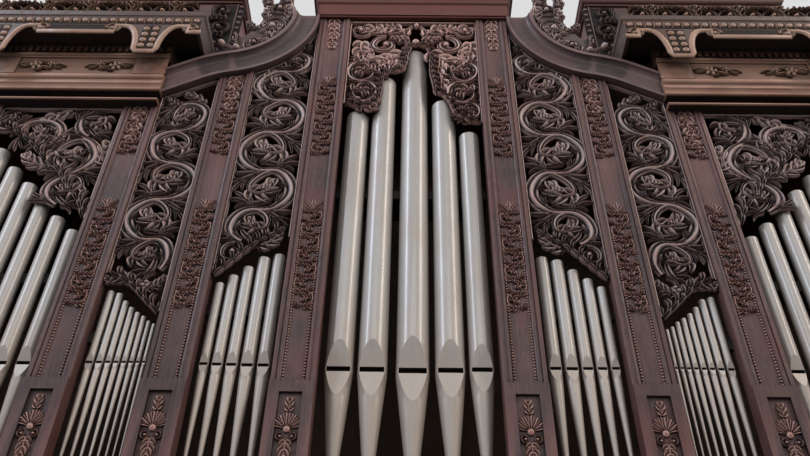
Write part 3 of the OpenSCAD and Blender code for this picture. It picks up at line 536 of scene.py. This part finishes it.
    def plate(self, outline, front):
        """A board painted dark as shade, with the given outline, from the plane at the back to the front
        depth.
        """
        outline = np.asarray(outline, float)
        n = len(outline)
        rings = [np.column_stack([outline[:, 0], np.full(n, y), outline[:, 1]]) for y in (self.back, front)]
        self.add(np.vstack(rings), np.full(2 * n, 0.85), closed_tube(2, n))

    def ground(self, low, high, thick):
        """A sunk field behind ornament, painted dark as shade."""
        (x0, z0), (x1, z1) = low, high
        self.block(x0, x1, self.back - thick, self.back, z0, z1, 1.0)

    def bare_back(self):
        """Takes the painted shade off the back of a free-standing carving, so that it shows plain wood."""
        for points, dark in zip(self.points, self.dark):
            dark[points[:, 1] > self.back - 0.002] = 0
        return self

    def join(self, other):
        """Takes over the solids of another carving."""
        self.points += other.points
        self.dark += other.dark
        self.faces += [tuple(self.count + i for i in face) for face in other.faces]
        self.count += other.count
        return self

    def build(self, name, replaced=(), flip=False, material=CARVED, slot="carved_wood"):
        """Makes the piece; flip mirrors it to the other side."""
        points = np.vstack(self.points)
        if flip:
            points = points * (-1, 1, 1)
        mesh = bpy.data.meshes.new(name)
        mesh.from_pydata(points.tolist(), [], self.faces)
        shade = mesh.attributes.new("hollow", "FLOAT", "POINT")
        shade.data.foreach_set("value", np.concatenate(self.dark).astype(np.float32))
        form = bmesh.new()
        form.from_mesh(mesh)
        bmesh.ops.recalc_face_normals(form, faces=form.faces)
        form.to_mesh(mesh)
        form.free()
        mesh.shade_smooth()
        mesh.set_sharp_from_angle(angle=SHARP)
        mesh.materials.append(material)
        piece = placed(name, mesh)
        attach(piece, "root")
        if replaced:
            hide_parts(*replaced)
        return piece


def both_sides(make, name, *nodes, **finish):
    """Builds a carving of the right side and its mirror image."""
    for side, flip in (("right", False), ("left", True)):
        make().build(f"{name}_{side}", [n + side for n in nodes], flip, **finish)


# Pipe shades

# Width of the rails, height of the relief, widest stem, and how far the stems sway
RAIL, LIFT, STEM, SWAY = 0.012, 0.026, 0.084, 0.008


def side_rails(work, edges):
    """Thin upright rails, each given by its x and its lower and upper end."""
    for x, low, high in edges:
        work.stroke([(x, low), (x, high)], RAIL, LIFT, "rail")


def swan_rail(work, x0, x1, n):
    """A rail along the underside of the curved cornice."""
    work.stroke([(x, swan_under(x) - 0.008) for x in np.linspace(x0, x1, n)], RAIL, LIFT, "rail")


def top_rail(work, x0, x1, top):
    """A wider level rail under a cornice."""
    work.stroke([(x0, top - 0.012), (x1, top - 0.012)], 0.022, LIFT, "rail")


def hem(work, path, width=0.05, side=1):
    """The rolled lower edge of a shade: a wavy stem wrapped in small leaves."""
    path = np.asarray(path, float)
    gone = gone_along(path)
    count = max(2, round(gone[-1] / (width * 1.25)))
    n = count * 4 + 1
    path = np.column_stack([np.interp(np.linspace(0, gone[-1], n), gone, path[:, i]) for i in (0, 1)])
    along = np.gradient(path, axis=0)
    along /= np.linalg.norm(along, axis=1, keepdims=True)
    across = np.column_stack([-along[:, 1], along[:, 0]])
    quarter = np.arange(n) * np.pi / 2
    path = path + across * (width * 0.11 * np.sin(quarter))[:, None]
    work.stroke(path, width * (0.55 + 0.1 * np.cos(quarter)), LIFT)
    for k in range(count):
        start, step = path[4 * k], along[4 * k]
        heading = math.degrees(math.atan2(step[1], step[0]))
        inward = side * across[4 * k] * width
        work.finger(start + 0.1 * inward, heading + side * 34, width * 1.35, side * 70, LIFT * 1.45, 0.42, 8)
        work.finger(start - 0.18 * inward, heading - side * 4, width * 1.3, side * 35, LIFT * 1.5, 0.40, 7)


def inner_shade():
    """A vine up a narrow field, under the hollow sweep of the cornice."""
    work = Carving(SHADE_BACK, SWAY)
    middle = (INNER_LO + INNER_HI) / 2
    circles = [(middle + 0.012, 4.140, 0.126), (middle - 0.008, 4.416, 0.150), (middle + 0.010, 4.728, 0.162),
               (middle - 0.010, 5.042, 0.152), (middle + 0.004, 5.332, 0.138), (0.792, 5.575, 0.110),
               (0.716, 5.745, 0.064)]
    work.vine(circles, 1, -60, 110, STEM, LIFT)
    work.scroll((0.945, 3.960), 0.060, 100, 150, -1, 0.036, LIFT, turns=0.9, leaves=1)
    work.sprigs([(0.80, 4.00, 150, 0.15, -40)], 0.09, LIFT)
    hem(work, bend((INNER_HI - 0.01, 3.815), 128, 0.47, 18, 12), side=-1)
    side_rails(work, ((INNER_LO + RAIL / 2, 4.06, 5.88),
                      (INNER_HI - RAIL / 2, 3.83, swan_under(INNER_HI) - 0.004)))
    swan_rail(work, INNER_LO + 0.012, INNER_HI, 24)
    work.sprigs(((0.99, 5.26, 100, 0.13, 30), (0.93, 5.42, 130, 0.14, -40), (0.70, 5.50, 80, 0.12, 60)),
                0.08, LIFT, 7)
    return work


def outer_shade():
    """A vine up a narrow field, under the foot of the curved cornice."""
    work = Carving(SHADE_BACK, SWAY)
    middle = (OUTER_LO + OUTER_HI) / 2
    circles = [(middle - 0.010, 3.925, 0.118), (middle + 0.010, 4.183, 0.140), (middle - 0.010, 4.475, 0.152),
               (middle + 0.010, 4.763, 0.136), (middle - 0.012, 5.018, 0.120)]
    work.vine(circles, -1, -140, 60, STEM, LIFT)
    work.boss((middle - 0.03, 3.735), 0.042, LIFT, petals=6)
    work.sprigs(((middle + 0.03, 3.76, 20, 0.14, -40), (middle - 0.07, 3.72, 165, 0.1, -60),
                 (OUTER_LO + 0.08, 5.16, 60, 0.13, -50), (middle + 0.05, 5.12, 30, 0.1, 40)), 0.08, LIFT, 7)
    hem(work, bend((OUTER_LO + 0.01, 3.575), 48, 0.39, -22, 11))
    side_rails(work, [(x, low, swan_under(x) - 0.006)
                      for x, low in ((OUTER_LO + RAIL / 2, 3.57), (OUTER_HI - RAIL / 2, 3.80))])
    swan_rail(work, OUTER_LO, OUTER_HI, 20)
    return work


def tower_shade():
    """Two vines that fill a corner over rising pipes."""
    work = Carving(SHADE_BACK, SWAY)
    work.vine([(1.925, 4.400, 0.122), (2.008, 4.672, 0.150), (1.905, 4.950, 0.118)], 1, -60, 20, STEM, LIFT)
    work.vine([(2.248, 4.860, 0.122), (2.440, 4.972, 0.084)], -1, 215, 0, STEM, LIFT)
    work.sprigs(((2.09, 5.06, -10, 0.18, -40), (2.12, 4.58, 10, 0.17, 50), (1.80, 4.62, 70, 0.18, 40),
                 (2.07, 4.80, 20, 0.14, 60)), 0.11, LIFT)
    hem(work, bend((TOWER_LO + 0.01, 4.20), 62, 0.99, -30, 20), 0.056)
    side_rails(work, ((TOWER_LO + RAIL / 2, 4.18, TOWER_TOP - 0.002),
                      (TOWER_HI - RAIL / 2, 4.86, TOWER_TOP - 0.002)))
    top_rail(work, TOWER_LO, TOWER_HI, TOWER_TOP)
    return work


def centre_shade():
    """Two scrolls over the middle pipe, leafy wings, and a lobe of scrolls down each side."""
    work = Carving(SHADE_BACK, SWAY / 2)
    middle = 0.022
    for s in (-1, 1):
        face = 0 if s > 0 else 180
        work.scroll((middle + s * 0.205, 5.775), 0.088, 90, 120, -s, 0.052, LIFT, turns=0.9)
        curved = bend((middle + s * 0.03, 5.985), face - s * 62, 0.19, s * 62, 10)
        work.stroke(curved, taper(0.03, 0.04, 10), LIFT)
        for at, high, heading, turn, long, wide in (
                (0.07, 5.90, 50, -80, 0.20, 0.12), (0.20, 5.90, 60, -100, 0.20, 0.12),
                (0.12, 5.97, 5, 30, 0.16, 0.08), (0.10, 5.68, -58, 70, 0.24, 0.15),
                (0.37, 5.80, -80, -60, 0.20, 0.12), (0.29, 5.69, -10, -70, 0.14, 0.1),
                (0.05, 5.83, -10, 40, 0.12, 0.08), (0.31, 5.62, -140, 60, 0.14, 0.1)):
            work.leaf(bend((middle + s * at, high), face + s * heading, long, s * turn, 9), wide, LIFT)
        work.scroll((s * 0.352, 5.935), 0.066, face + s * 200, 140, s, 0.034, LIFT, turns=0.9, leaves=1)
        side_rails(work, [(s * (CENTRE_HALF - RAIL / 2), 5.16 if s < 0 else 4.99, CENTRE_TOP - 0.002)])
    stem = STEM * 0.9
    work.vine([(-0.318, 5.490, 0.106), (-0.322, 5.288, 0.096)], 1, 90, -90, stem, LIFT)
    work.vine([(0.322, 5.490, 0.100), (0.325, 5.285, 0.105), (0.350, 5.105, 0.072)], -1, 90, -90, stem, LIFT)
    work.sprigs(((-0.19, 5.60, -60, 0.15, 60), (0.175, 5.62, -88, 0.2, -10), (0.185, 5.46, -85, 0.18, -20),
                 (-0.37, 5.2, -60, 0.16, 80), (0.28, 5.12, -60, 0.12, 60), (-0.14, 5.64, -80, 0.14, 40)),
                0.1, LIFT)
    hem(work, [(-0.42, 5.17), (-0.36, 5.14), (-0.28, 5.14), (-0.215, 5.20), (-0.20, 5.32), (-0.205, 5.43),
               (-0.16, 5.485), (-0.08, 5.50), (-0.045, 5.58), (-0.045, 5.68), (-0.02, 5.76), (0.04, 5.785),
               (0.10, 5.75), (0.125, 5.66), (0.13, 5.45), (0.145, 5.30), (0.20, 5.255), (0.245, 5.18),
               (0.275, 5.07), (0.34, 5.015), (0.42, 5.00)], 0.042)
    work.boss((middle, 5.80), 0.028, LIFT * 1.6)
    work.boss((middle, 5.99), 0.02, LIFT * 1.4)
    top_rail(work, -CENTRE_HALF, CENTRE_HALF, CENTRE_TOP)
    return work


# Pilaster ornaments

INNER_X, MID_X, OUTER_X, FAR_X = (sum(v.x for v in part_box(n + "_pilaster_right")) / 2
                                  for n in ("inner", "mid", "outer", "far"))
PANEL_BACK = FRONT + 0.016
PANEL_LIFT = 0.013
BELL_STEP = 0.105
CLIMBER_R = 0.046
BEADS, BEAD_LOW, BEAD_STEP = 56, 2.80 + 0.36, 0.0172
SHELL_LIFT = 0.012


def drop(work, x, top, bottom, wide=0.09):
    """Bell flowers that hang down the middle of a panel."""
    n = max(1, round((top - bottom) / BELL_STEP))
    step = (top - bottom) / n
    for k in range(n):
        z = top - k * step
        size = wide * (0.95 - 0.12 * k)
        work.leaf([(x + 0.004 * (-1) ** k, z - step * t) for t in np.linspace(0, 0.95, 6)],
                  size, PANEL_LIFT, 2)
        for s in (-1, 1):
            work.finger((x + s * 0.008, z - 0.01), 90 - s * 55, size * 0.42, -s * 120, PANEL_LIFT, 0.42, 6)


def climber(work, x, low, high, hand):
    """A leafy stem that climbs a panel from a hook to an open flower."""
    n = max(2, round((high - low) / (1.9 * CLIMBER_R)))
    step = (high - low) / n
    work.vine([(x + 0.006 * hand * (-1) ** k, low + step * (k + 0.5), CLIMBER_R) for k in range(n)],
              hand, -90, 90, 0.060, PANEL_LIFT)
    for s in (-1, 0, 1):
        work.finger((x, high), 90 - s * 22, 0.08, -s * 30, PANEL_LIFT, 0.36, 7)


def pilaster_ornament(x, top, hand):
    """Makes the ornaments of one pilaster: a drop, two climbers, rows of beads and a shell at the foot."""
    def make():
        work = Carving(PANEL_BACK)
        drop(work, x, top - 0.01, top - 0.33)
        climber(work, x, 4.70, min(5.34, top - 0.40) if top > 5.5 else top - 0.05, hand)
        climber(work, x, 3.60, 4.25, -hand)
        for s in (-1, 1):
            for k in range(BEADS):
                work.boss((x + s * 0.049, BEAD_LOW + BEAD_STEP * (k + 0.5)), 0.0062, PANEL_LIFT * 0.9, n=6)
        shell = Carving(FRONT)
        for k in range(7):
            ray = bend((x, 2.93), 90 + (k - 3) * 24, 0.075 - 0.003 * abs(k - 3), 0, 5)
            shell.stroke(ray, taper(0.008, 0.026, 5), taper(0.010, SHELL_LIFT, 5), "finger")
        shell.boss((x, 2.925), 0.018, 0.013, n=8)
        for s in (-1, 1):
            shell.scroll((x + s * 0.026, 2.89), 0.02, 90, 120, -s, 0.014, SHELL_LIFT, 0.8, 0.3, 0, 16)
        shell.leaf([(x, 2.87 - 0.09 * t) for t in np.linspace(0, 1, 6)], 0.06, SHELL_LIFT, 3)
        shell.leaf([(x, 3.02 + 0.06 * t) for t in np.linspace(0, 1, 6)], 0.04, SHELL_LIFT, 2)
        return work.join(shell)
    return make


# Cornice ornaments

ENT_LO, ENT_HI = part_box("entablature_right")
CROWN_LO, CROWN_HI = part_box("crown_cornice_right")
ENT_FACE = OUTER_HI
HALF_W = ENT_HI.x - 0.070 * 1.03
CROWN_Z = ENT_HI.z
CROWN_FACE = FRONT - 0.208
PILASTER_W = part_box("far_pilaster_right")[1].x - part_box("far_pilaster_right")[0].x

# How far the frieze stands out, its blocks over the pilasters, and the dentils above it
FRIEZE_OUT = 0.0497
BLOCK_HALF, BLOCK_LOW, BLOCK_HIGH, BLOCK_OUT = 0.105, 0.245, 0.397, 0.008
POINT_HALF, POINT_IN, POINT_OUT = 0.075, 0.012, 0.026
DENTILS, DENTIL_HALF, DENTIL_LOW, DENTIL_HIGH, DENTIL_OUT = 26, 0.012, 0.462, 0.508, 0.066

# The valance under the crown: its tabs and the arches beside them
TABS = (OUTER_X, FAR_X)
TAB_HALF, TAB_H, ARCH_W, ARCH_GAP, VALANCE_H = 0.07, 0.27, 0.165, 0.01, 0.07
FLANK = TAB_HALF + 0.6 * ARCH_W

# Trim of the crown, as radius or width and height of relief: beads, beads on the tabs, roll and volutes
CROWN_BEAD, TAB_BEAD, ROLL, VOLUTE = (0.021, 0.0116), (0.022, 0.0115), (0.042, 0.0118), (0.028, 0.009)
CROWN_BEAD_STEP, TAB_BEAD_STEP, TAB_BEAD_ROWS = 0.06, 0.058, 4
VOLUTE_R = 0.044
FIELD = 0.0015

# Mouldings as (out, up) points
ENT_PROFILE = ((0.0, 0.002), (0.044, 0.002), (0.046, 0.0), (0.054, 0.004), (0.056, 0.012), (0.050, 0.019),
               (0.012, 0.021), (-0.02, 0.030), (-0.02, 0.091), (0.048, 0.092), (0.054, 0.095), (0.057, 0.101),
               (0.057, 0.107), (0.050, 0.110), (0.051, 0.118), (0.055, 0.128), (0.062, 0.140),
               (0.066, 0.143), (0.066, 0.154), (0.056, 0.157), (0.056, 0.188), (0.066, 0.194), (0.071, 0.203),
               (0.072, 0.214), (0.069, 0.226), (0.060, 0.236), (FRIEZE_OUT, 0.240), (FRIEZE_OUT, 0.402),
               (0.058, 0.404), (0.060, 0.414), (0.068, 0.418), (0.072, 0.428), (0.070, 0.438), (0.052, 0.442),
               (FRIEZE_OUT, 0.448), (FRIEZE_OUT, 0.545))
CENTRE_PROFILE = ((0.0, 0.0), (0.014, 0.0), (0.018, 0.005), (0.016, 0.012), (0.004, 0.014), (0.004, 0.024),
                  (0.016, 0.028), (0.018, 0.150), (0.026, 0.156), (0.032, 0.166), (0.032, 0.178),
                  (0.024, 0.186), (0.024, 0.214), (0.034, 0.244), (0.056, 0.276), (0.064, 0.286),
                  (0.072, 0.290), (0.074, 0.330))


def entablature():
    """Mouldings, frieze blocks over the pilasters and dentils under the crown."""
    z, ends = ENT_LO.z, (ENT_FACE, HALF_W)
    work = Carving(FRONT)
    work.course(ENT_PROFILE, *ends, ENT_HI.y, z, flush=True)
    # A back wall and strips under the mouldings, painted dark as shade.
    work.block(ends[0] + 0.04, ends[1] - 0.04, ENT_HI.y - 0.025, ENT_HI.y, z, ENT_HI.z, 0.7)
    for out, low, high in ((0.042, 0.0, 0.004), (-0.012, 0.022, 0.09), (0.043, 0.087, 0.0925)):
        work.block(ends[0] + 0.01, ends[1] + out, FRONT - out, FRONT + 0.03, z + low, z + high, 1.0)
    for x in TABS:
        front = FRONT - FRIEZE_OUT
        low, high = z + BLOCK_LOW, z + BLOCK_HIGH
        work.block(x - BLOCK_HALF, x + BLOCK_HALF, front - BLOCK_OUT, FRONT, low, high)
        middle = (low + high) / 2
        rim = ((x - POINT_HALF, middle), (x, low + POINT_IN), (x + POINT_HALF, middle), (x, high - POINT_IN))
        points = [(u, front - BLOCK_OUT, v) for u, v in rim] + [(x, front - POINT_OUT, middle)]
        work.add(np.array(points), np.zeros(5), [(0, 1, 4), (1, 2, 4), (2, 3, 4), (3, 0, 4), (0, 3, 2, 1)])
    step = (ends[1] - ends[0]) / DENTILS
    for k in range(DENTILS):
        x = ends[0] + (k + 0.5) * step
        work.block(x - DENTIL_HALF, x + DENTIL_HALF, FRONT - DENTIL_OUT, FRONT,
                   z + DENTIL_LOW, z + DENTIL_HIGH)
    return work


def centre_cornice():
    """The cornice over the centre field, which returns along both ends."""
    work = Carving(FRONT)
    low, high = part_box("centre_cornice")
    wall = 0.15
    work.course(CENTRE_PROFILE, -INNER_LO, INNER_LO, high.y, low.z, thick=wall)
    inside = INNER_LO - wall + 0.001
    work.block(-inside, inside, FRONT + wall - 0.001, high.y, low.z + 0.001, high.z - 0.001)
    return work


def frieze():
    """Two groups of flowers and leaves between the frieze blocks."""
    work = Carving(FRONT - FRIEZE_OUT)
    z = CROWN_Z - 0.224
    middle = (OUTER_X + FAR_X) / 2
    for s in (-1, 1):
        face = 0 if s > 0 else 180
        work.boss((middle + s * 0.255, z), 0.044, 0.022, petals=5)
        work.boss((middle + s * 0.16, z + 0.01), 0.026, 0.021, petals=4)
        for at, up, heading, long, turn in (
                (0.285, 0.0, 25, 0.085, -50), (0.285, 0.0, -25, 0.075, 50), (0.225, 0.01, 150, 0.08, 60),
                (0.225, -0.01, 215, 0.085, -60), (0.185, 0.0, 60, 0.07, -70), (0.135, 0.0, 170, 0.08, 50),
                (0.14, -0.01, 215, 0.06, -50), (0.20, -0.02, -60, 0.06, 70)):
            work.finger((middle + s * at, z + up), face + s * heading, long, s * turn, 0.02, 0.34, 8)
    return work


def valance_edge(x0, x1, tabs):
    """The lower edge of the valance: level runs, and arches that come down to the tabs."""
    def end(x):
        arched = any(abs(x - u) < TAB_HALF + ARCH_W for u in tabs)
        return x, CROWN_Z - (ARCH_GAP if arched else VALANCE_H)

    path = []
    t = np.radians(np.linspace(0, 90, 7))
    low = -TAB_H + 0.4 * TAB_HALF
    rise = [(TAB_HALF + (FLANK - TAB_HALF) * (1 - math.cos(a)), low + (-ARCH_GAP - low) * math.sin(a))
            for a in t]
    for u in tabs:
        left = [(u - TAB_HALF - ARCH_W, CROWN_Z - VALANCE_H), (u - TAB_HALF - ARCH_W, CROWN_Z - ARCH_GAP)]
        left += [(u - p, CROWN_Z + q) for p, q in reversed(rise)]
        bottom = [(u - 0.8 * TAB_HALF, CROWN_Z - TAB_H), (u + 0.8 * TAB_HALF, CROWN_Z - TAB_H)]
        path += left + bottom + [(2 * u - p, q) for p, q in reversed(left)]
    return [end(x0)] + [p for p in path if x0 < p[0] < x1] + [end(x1)]


def crown_trim(work, x0, x1, tabs):
    """Trim of one face of the crown: beads, the roll under its valance, and the beads of its tabs, on sunk
    fields painted dark as shade.
    """
    n = round((x1 - x0) / CROWN_BEAD_STEP)
    step = (x1 - x0) / n
    for k in range(n):
        x = x0 + (k + 0.5) * step
        work.boss((x, CROWN_Z + 0.050), *CROWN_BEAD, n=9)
        work.finger((x + step / 2, CROWN_Z + 0.076), -90, 0.06, 0, 0.009, 0.3, 6)
    work.ground((x0, CROWN_Z + 0.012), (x1, CROWN_Z + 0.082), FIELD)
    edges = [x0] + [u + s * (TAB_HALF + ARCH_W) for u in tabs for s in (-1, 1)] + [x1]
    for low, high in zip(edges[::2], edges[1::2]):
        if high - low > 0.03:
            work.ground((low, CROWN_Z - 0.040), (high, CROWN_Z + 0.004), FIELD * 0.8)
    work.stroke(valance_edge(x0 - 0.018, x1 + 0.018, tabs), *ROLL, "rib")
    for u in tabs:
        work.ground((u - 0.054, CROWN_Z - 0.25), (u + 0.054, CROWN_Z - 0.004), FIELD)
        for row in range(TAB_BEAD_ROWS):
            for s in (-1, 1):
                work.boss((u + s * 0.03, CROWN_Z - 0.04 - TAB_BEAD_STEP * row), *TAB_BEAD, n=12)
        for s in (-1, 1):
            place = (u + s * (TAB_HALF + ARCH_W + 0.014), CROWN_Z - 0.034)
            if x0 < place[0] < x1:
                work.scroll(place, VOLUTE_R, 90 - s * 90, 200, s, *VOLUTE, 0.8, 0.3, 0, 24)
    return work


def crown_course():
    """The trim of the crown's front and outer end, and the cresting on top of it."""
    work = crown_trim(Carving(CROWN_FACE), CROWN_LO.x + 0.02, CROWN_HI.x - 0.02, TABS)
    depth = ENT_HI.y - FRONT
    tabs = (PILASTER_W / 2, depth / 2, depth - FLANK)
    end = crown_trim(Carving(0), CROWN_FACE - FRONT + 0.02, depth - 0.04, tabs)
    end.points = [np.column_stack([HALF_W + FRONT - CROWN_FACE - p[:, 1], FRONT + p[:, 0], p[:, 2]])
                  for p in end.points]
    work.join(end)
    top = Carving(FRONT - 0.12)
    z = CROWN_Z + 0.14
    x0, x1 = CROWN_LO.x + 0.09, CROWN_HI.x - 0.05
    # A board painted dark as shade behind the cresting.
    top.plate([(x0, z), (x1, z), (x1, z + 0.16), (x0, z + 0.16)], FRONT - 0.135)
    span = CROWN_HI.x - 0.06 - (CROWN_LO.x + 0.10)
    count = 5
    for k in range(count):
        x = CROWN_LO.x + 0.10 + span * (k + 0.5) / count
        for s in (-1, 1):
            top.scroll((x + s * 0.075, z + 0.085), 0.066, -90, 190, s, 0.03, 0.05, 1.0, 0.25, 1, 26)
            top.leaf(bend((x + s * 0.03, z + 0.14), 90 - s * 40, 0.12, -s * 60, 6), 0.07, 0.045, 3)
        top.stroke([(x - span / count / 2, z + 0.006), (x + span / count / 2, z + 0.006)], 0.03, 0.05, "rib")
        top.leaf([(x, z + 0.03 + 0.17 * t) for t in np.linspace(0, 1, 7)], 0.09, 0.05, 4)
    return work.join(top.bare_back())


def wing_beads():
    """A row of beads, a rib and hanging scrolls beside the attic, on a field painted dark as shade."""
    work = Carving(FRONT + 0.18)
    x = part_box("tower_attic_right")[0].x + 0.03
    work.ground((x - 0.026, 5.46), (x + 0.215, 6.45), 0.002)
    for k in range(15):
        work.boss((x, 5.50 + 0.066 * k), 0.015, 0.016, n=10)
    work.stroke([(x + 0.03, 5.46), (x + 0.03, 6.46)], 0.012, 0.012, "rib")
    for k in range(3):
        hand = -1 if k % 2 else 1
        work.scroll((x + 0.13, 6.36 - 0.2 * k), 0.07, -90, 150, hand, 0.036, 0.03, 1.0, 0.22, 1, 30)
        work.leaf(bend((x + 0.1, 6.27 - 0.2 * k), 20, 0.12, -50, 7), 0.08, 0.028)
    return work


# Crests

CREST_R = SWEEP_R - 0.175
CREST_LOW, CREST_HIGH = -72, 30


def round_sweep(r, a):
    """The point at radius r and turn a round the hollow sweep of the curved cornice."""
    a = math.radians(a)
    return SWEEP[0] - r * math.cos(a), SWEEP[1] + r * math.sin(a)


def crest_free(a):
    """Radius of the crest's free edge at turn a round the hollow sweep."""
    return CREST_R * (0.56 + ((a + 20) / (90 if a > -20 else 150)) ** 2)


def crest():
    """A free-standing carved crest in the hollow of the curved cornice."""
    work = Carving(FRONT - 0.009)
    turns = range(CREST_LOW, CREST_HIGH + 1, 6)
    inner = [round_sweep(crest_free(a), a) for a in turns]
    outer = [round_sweep(CREST_R - 0.0005, a) for a in reversed(turns)]
    # A board painted dark as shade behind the crest's openwork.
    work.plate(inner + outer, FRONT - 0.026)
    lift = 0.034
    for r, a, size, hand in ((0.352, -22, 0.092, -1), (0.398, -55, 0.058, 1), (0.365, 12, 0.070, 1)):
        place = round_sweep(r, a)
        work.scroll(place, size, 200, 120, hand, size * 0.42, lift, 1.1, 0.24, 2, 40)
    for r, a, heading, turn, long, wide in (
            (0.42, -64, 128, 40, 0.15, 0.09), (0.44, -40, 118, -30, 0.16, 0.10),
            (0.44, -8, 100, -40, 0.17, 0.10), (0.40, -36, 40, 60, 0.15, 0.09),
            (0.30, -8, 60, 50, 0.13, 0.09), (0.43, 20, 80, -30, 0.13, 0.09), (0.30, 24, 60, 60, 0.12, 0.08),
            (0.36, -72, 60, 60, 0.1, 0.07), (0.28, -36, 20, 60, 0.1, 0.07)):
        work.leaf(bend(round_sweep(r, a), heading, long, turn, 8), wide, lift * 0.9)
    work.stroke([round_sweep(CREST_R - 0.012, a) for a in turns], 0.022, lift * 0.8, "rib")
    head = round_sweep(crest_free(CREST_HIGH) + 0.04, CREST_HIGH)
    work.scroll(head, 0.046, -60, 180, -1, 0.03, lift, 0.9, 0.25, 0, 26)
    foot = round_sweep(0.337, -88)
    stalk = [round_sweep(0.40, -74), round_sweep(0.36, -80), foot]
    work.stroke(stalk, taper(0.04, 0.02, 3), lift * 0.8, "rib")
    work.boss(foot, 0.027, 0.05, n=14)
    work.boss(round_sweep(0.40, -73), 0.026, 0.05, n=14)
    return work.bare_back()


centre_shade().build("carved_centre_shade", ["centre_shade"], material=CENTRE)
both_sides(inner_shade, "carved_inner_shade", "inner_shade_")
both_sides(outer_shade, "carved_outer_shade", "outer_shade_")
both_sides(tower_shade, "carved_tower_shade", "tower_shade_")
both_sides(crest, "carved_crest", "crest_")
both_sides(entablature, "moulded_entablature", "entablature_", material=CORNICE, slot="moulding_wood")
centre_cornice().build("moulded_centre_cornice", ["centre_cornice"], material=FASCIA, slot="moulding_wood")
both_sides(frieze, "frieze_ornament", material=FLOWERS)
both_sides(crown_course, "crown_ornament", material=TRIM)
both_sides(wing_beads, "wing_ornament", material=MOULDING)
for name, x, top, hand in (("inner", INNER_X, CENTRE_TOP, 1), ("mid", MID_X, 5.40, -1),
                           ("outer", OUTER_X, TOWER_TOP, 1), ("far", FAR_X, TOWER_TOP, -1)):
    both_sides(pilaster_ornament(x, top, hand), name + "_pilaster_ornament", material=ORNAMENT)


# Finish of the frame's own parts

FINISH = {
    CASE: ("lower_front_frame", "lower_front_panels", "lower_side", "upper_side",
           "far_pilaster", "outer_pilaster", "mid_pilaster", "inner_pilaster"),
    CASE_ACROSS: ("plinth", "tower_attic"),
    BOARDS: ("case_back", "case_roof"),
    INNER: ("toe_board", "pipe_rails"),
    MOULDING: ("impost", "centre_cornice", "entablature", "swan_cornice"),
    CROWN: ("crown_cornice",),
    TIN: ("centre_pipes", "inner_pipes", "outer_pipes", "tower_pipes"),
}
for name, part in NODES.items():
    family = name.removesuffix("_left").removesuffix("_right")
    for finish, families in FINISH.items():
        if family in families:
            for place in part.material_slots:
                place.material = finish


# Camera, lamps and floor

def make_camera():
    """A camera at the viewpoint of the photograph."""
    data = bpy.data.cameras.new("camera")
    data.lens = CAMERA_LENS
    data.sensor_width = 36.0
    data.clip_end = 100.0
    camera = placed("camera", data)
    turn = (Matrix.Rotation(math.radians(CAMERA_YAW), 4, "Z")
            @ Matrix.Rotation(math.radians(90 + CAMERA_PITCH), 4, "X")
            @ Matrix.Rotation(math.radians(CAMERA_ROLL), 4, "Z"))
    camera.matrix_world = Matrix.Translation(CAMERA_PLACE) @ turn
    bpy.context.scene.camera = camera


def area_light(name, place, target, size, power, colour=(1, 1, 1)):
    """A lamp that faces a target."""
    data = bpy.data.lights.new(name, "AREA")
    data.shape = "RECTANGLE"
    data.size, data.size_y = size
    data.energy = power
    data.color = colour
    lamp = placed(name, data)
    lamp.location = place
    aim = Vector(target) - Vector(place)
    lamp.rotation_euler = aim.to_track_quat("-Z", "Y").to_euler()


# Tones of the floor and the world, for the light on the object and for the eye
FLOOR_LIT, FLOOR_SEEN = (0.10, 0.095, 0.09), (0.62, 0.61, 0.6)
WORLD_LIT, WORLD_SEEN = (0.35, 0.36, 0.375), (0.72, 0.72, 0.73)
FLOOR_REACH = 30


def make_stage():
    """The floor and the world around the object."""
    mesh = bpy.data.meshes.new("floor")
    corners = [(x * FLOOR_REACH, y * FLOOR_REACH, 0) for x, y in ((-1, -1), (1, -1), (1, 1), (-1, 1))]
    mesh.from_pydata(corners, [], [(0, 1, 2, 3)])
    floor = placed("floor", mesh)
    skin = Shader(bpy.data.materials.new("floor"))
    skin.feed(skin.last, {"Roughness": 0.9})
    skin.two_tones("Base Color", FLOOR_LIT, FLOOR_SEEN)
    mesh.materials.append(skin.owner)
    world = bpy.data.worlds.new("world")
    Shader(world, "Background").two_tones("Color", WORLD_LIT, WORLD_SEEN)
    bpy.context.scene.world = world


make_camera()
make_stage()
WINDOW_AIM, WINDOW_SIZE = (0, -0.5, 4.7), (2.6, 10)
COOL, WARM = (0.79, 0.86, 1.0), (1.0, 0.89, 0.79)
area_light("window_left", (-11.8, -7.9, 14.8), WINDOW_AIM, WINDOW_SIZE, 1600, COOL)
area_light("window_right", (11.8, -7.9, 14.8), WINDOW_AIM, WINDOW_SIZE, 1400, WARM)
area_light("front", (0, -10.0, 9.0), WINDOW_AIM, (6, 4), 260)
area_light("back", (3.0, 14.0, 9.0), (0, 0.7, 3.0), (10, 6), 1100)
bpy.context.scene.view_settings.view_transform = "Standard"
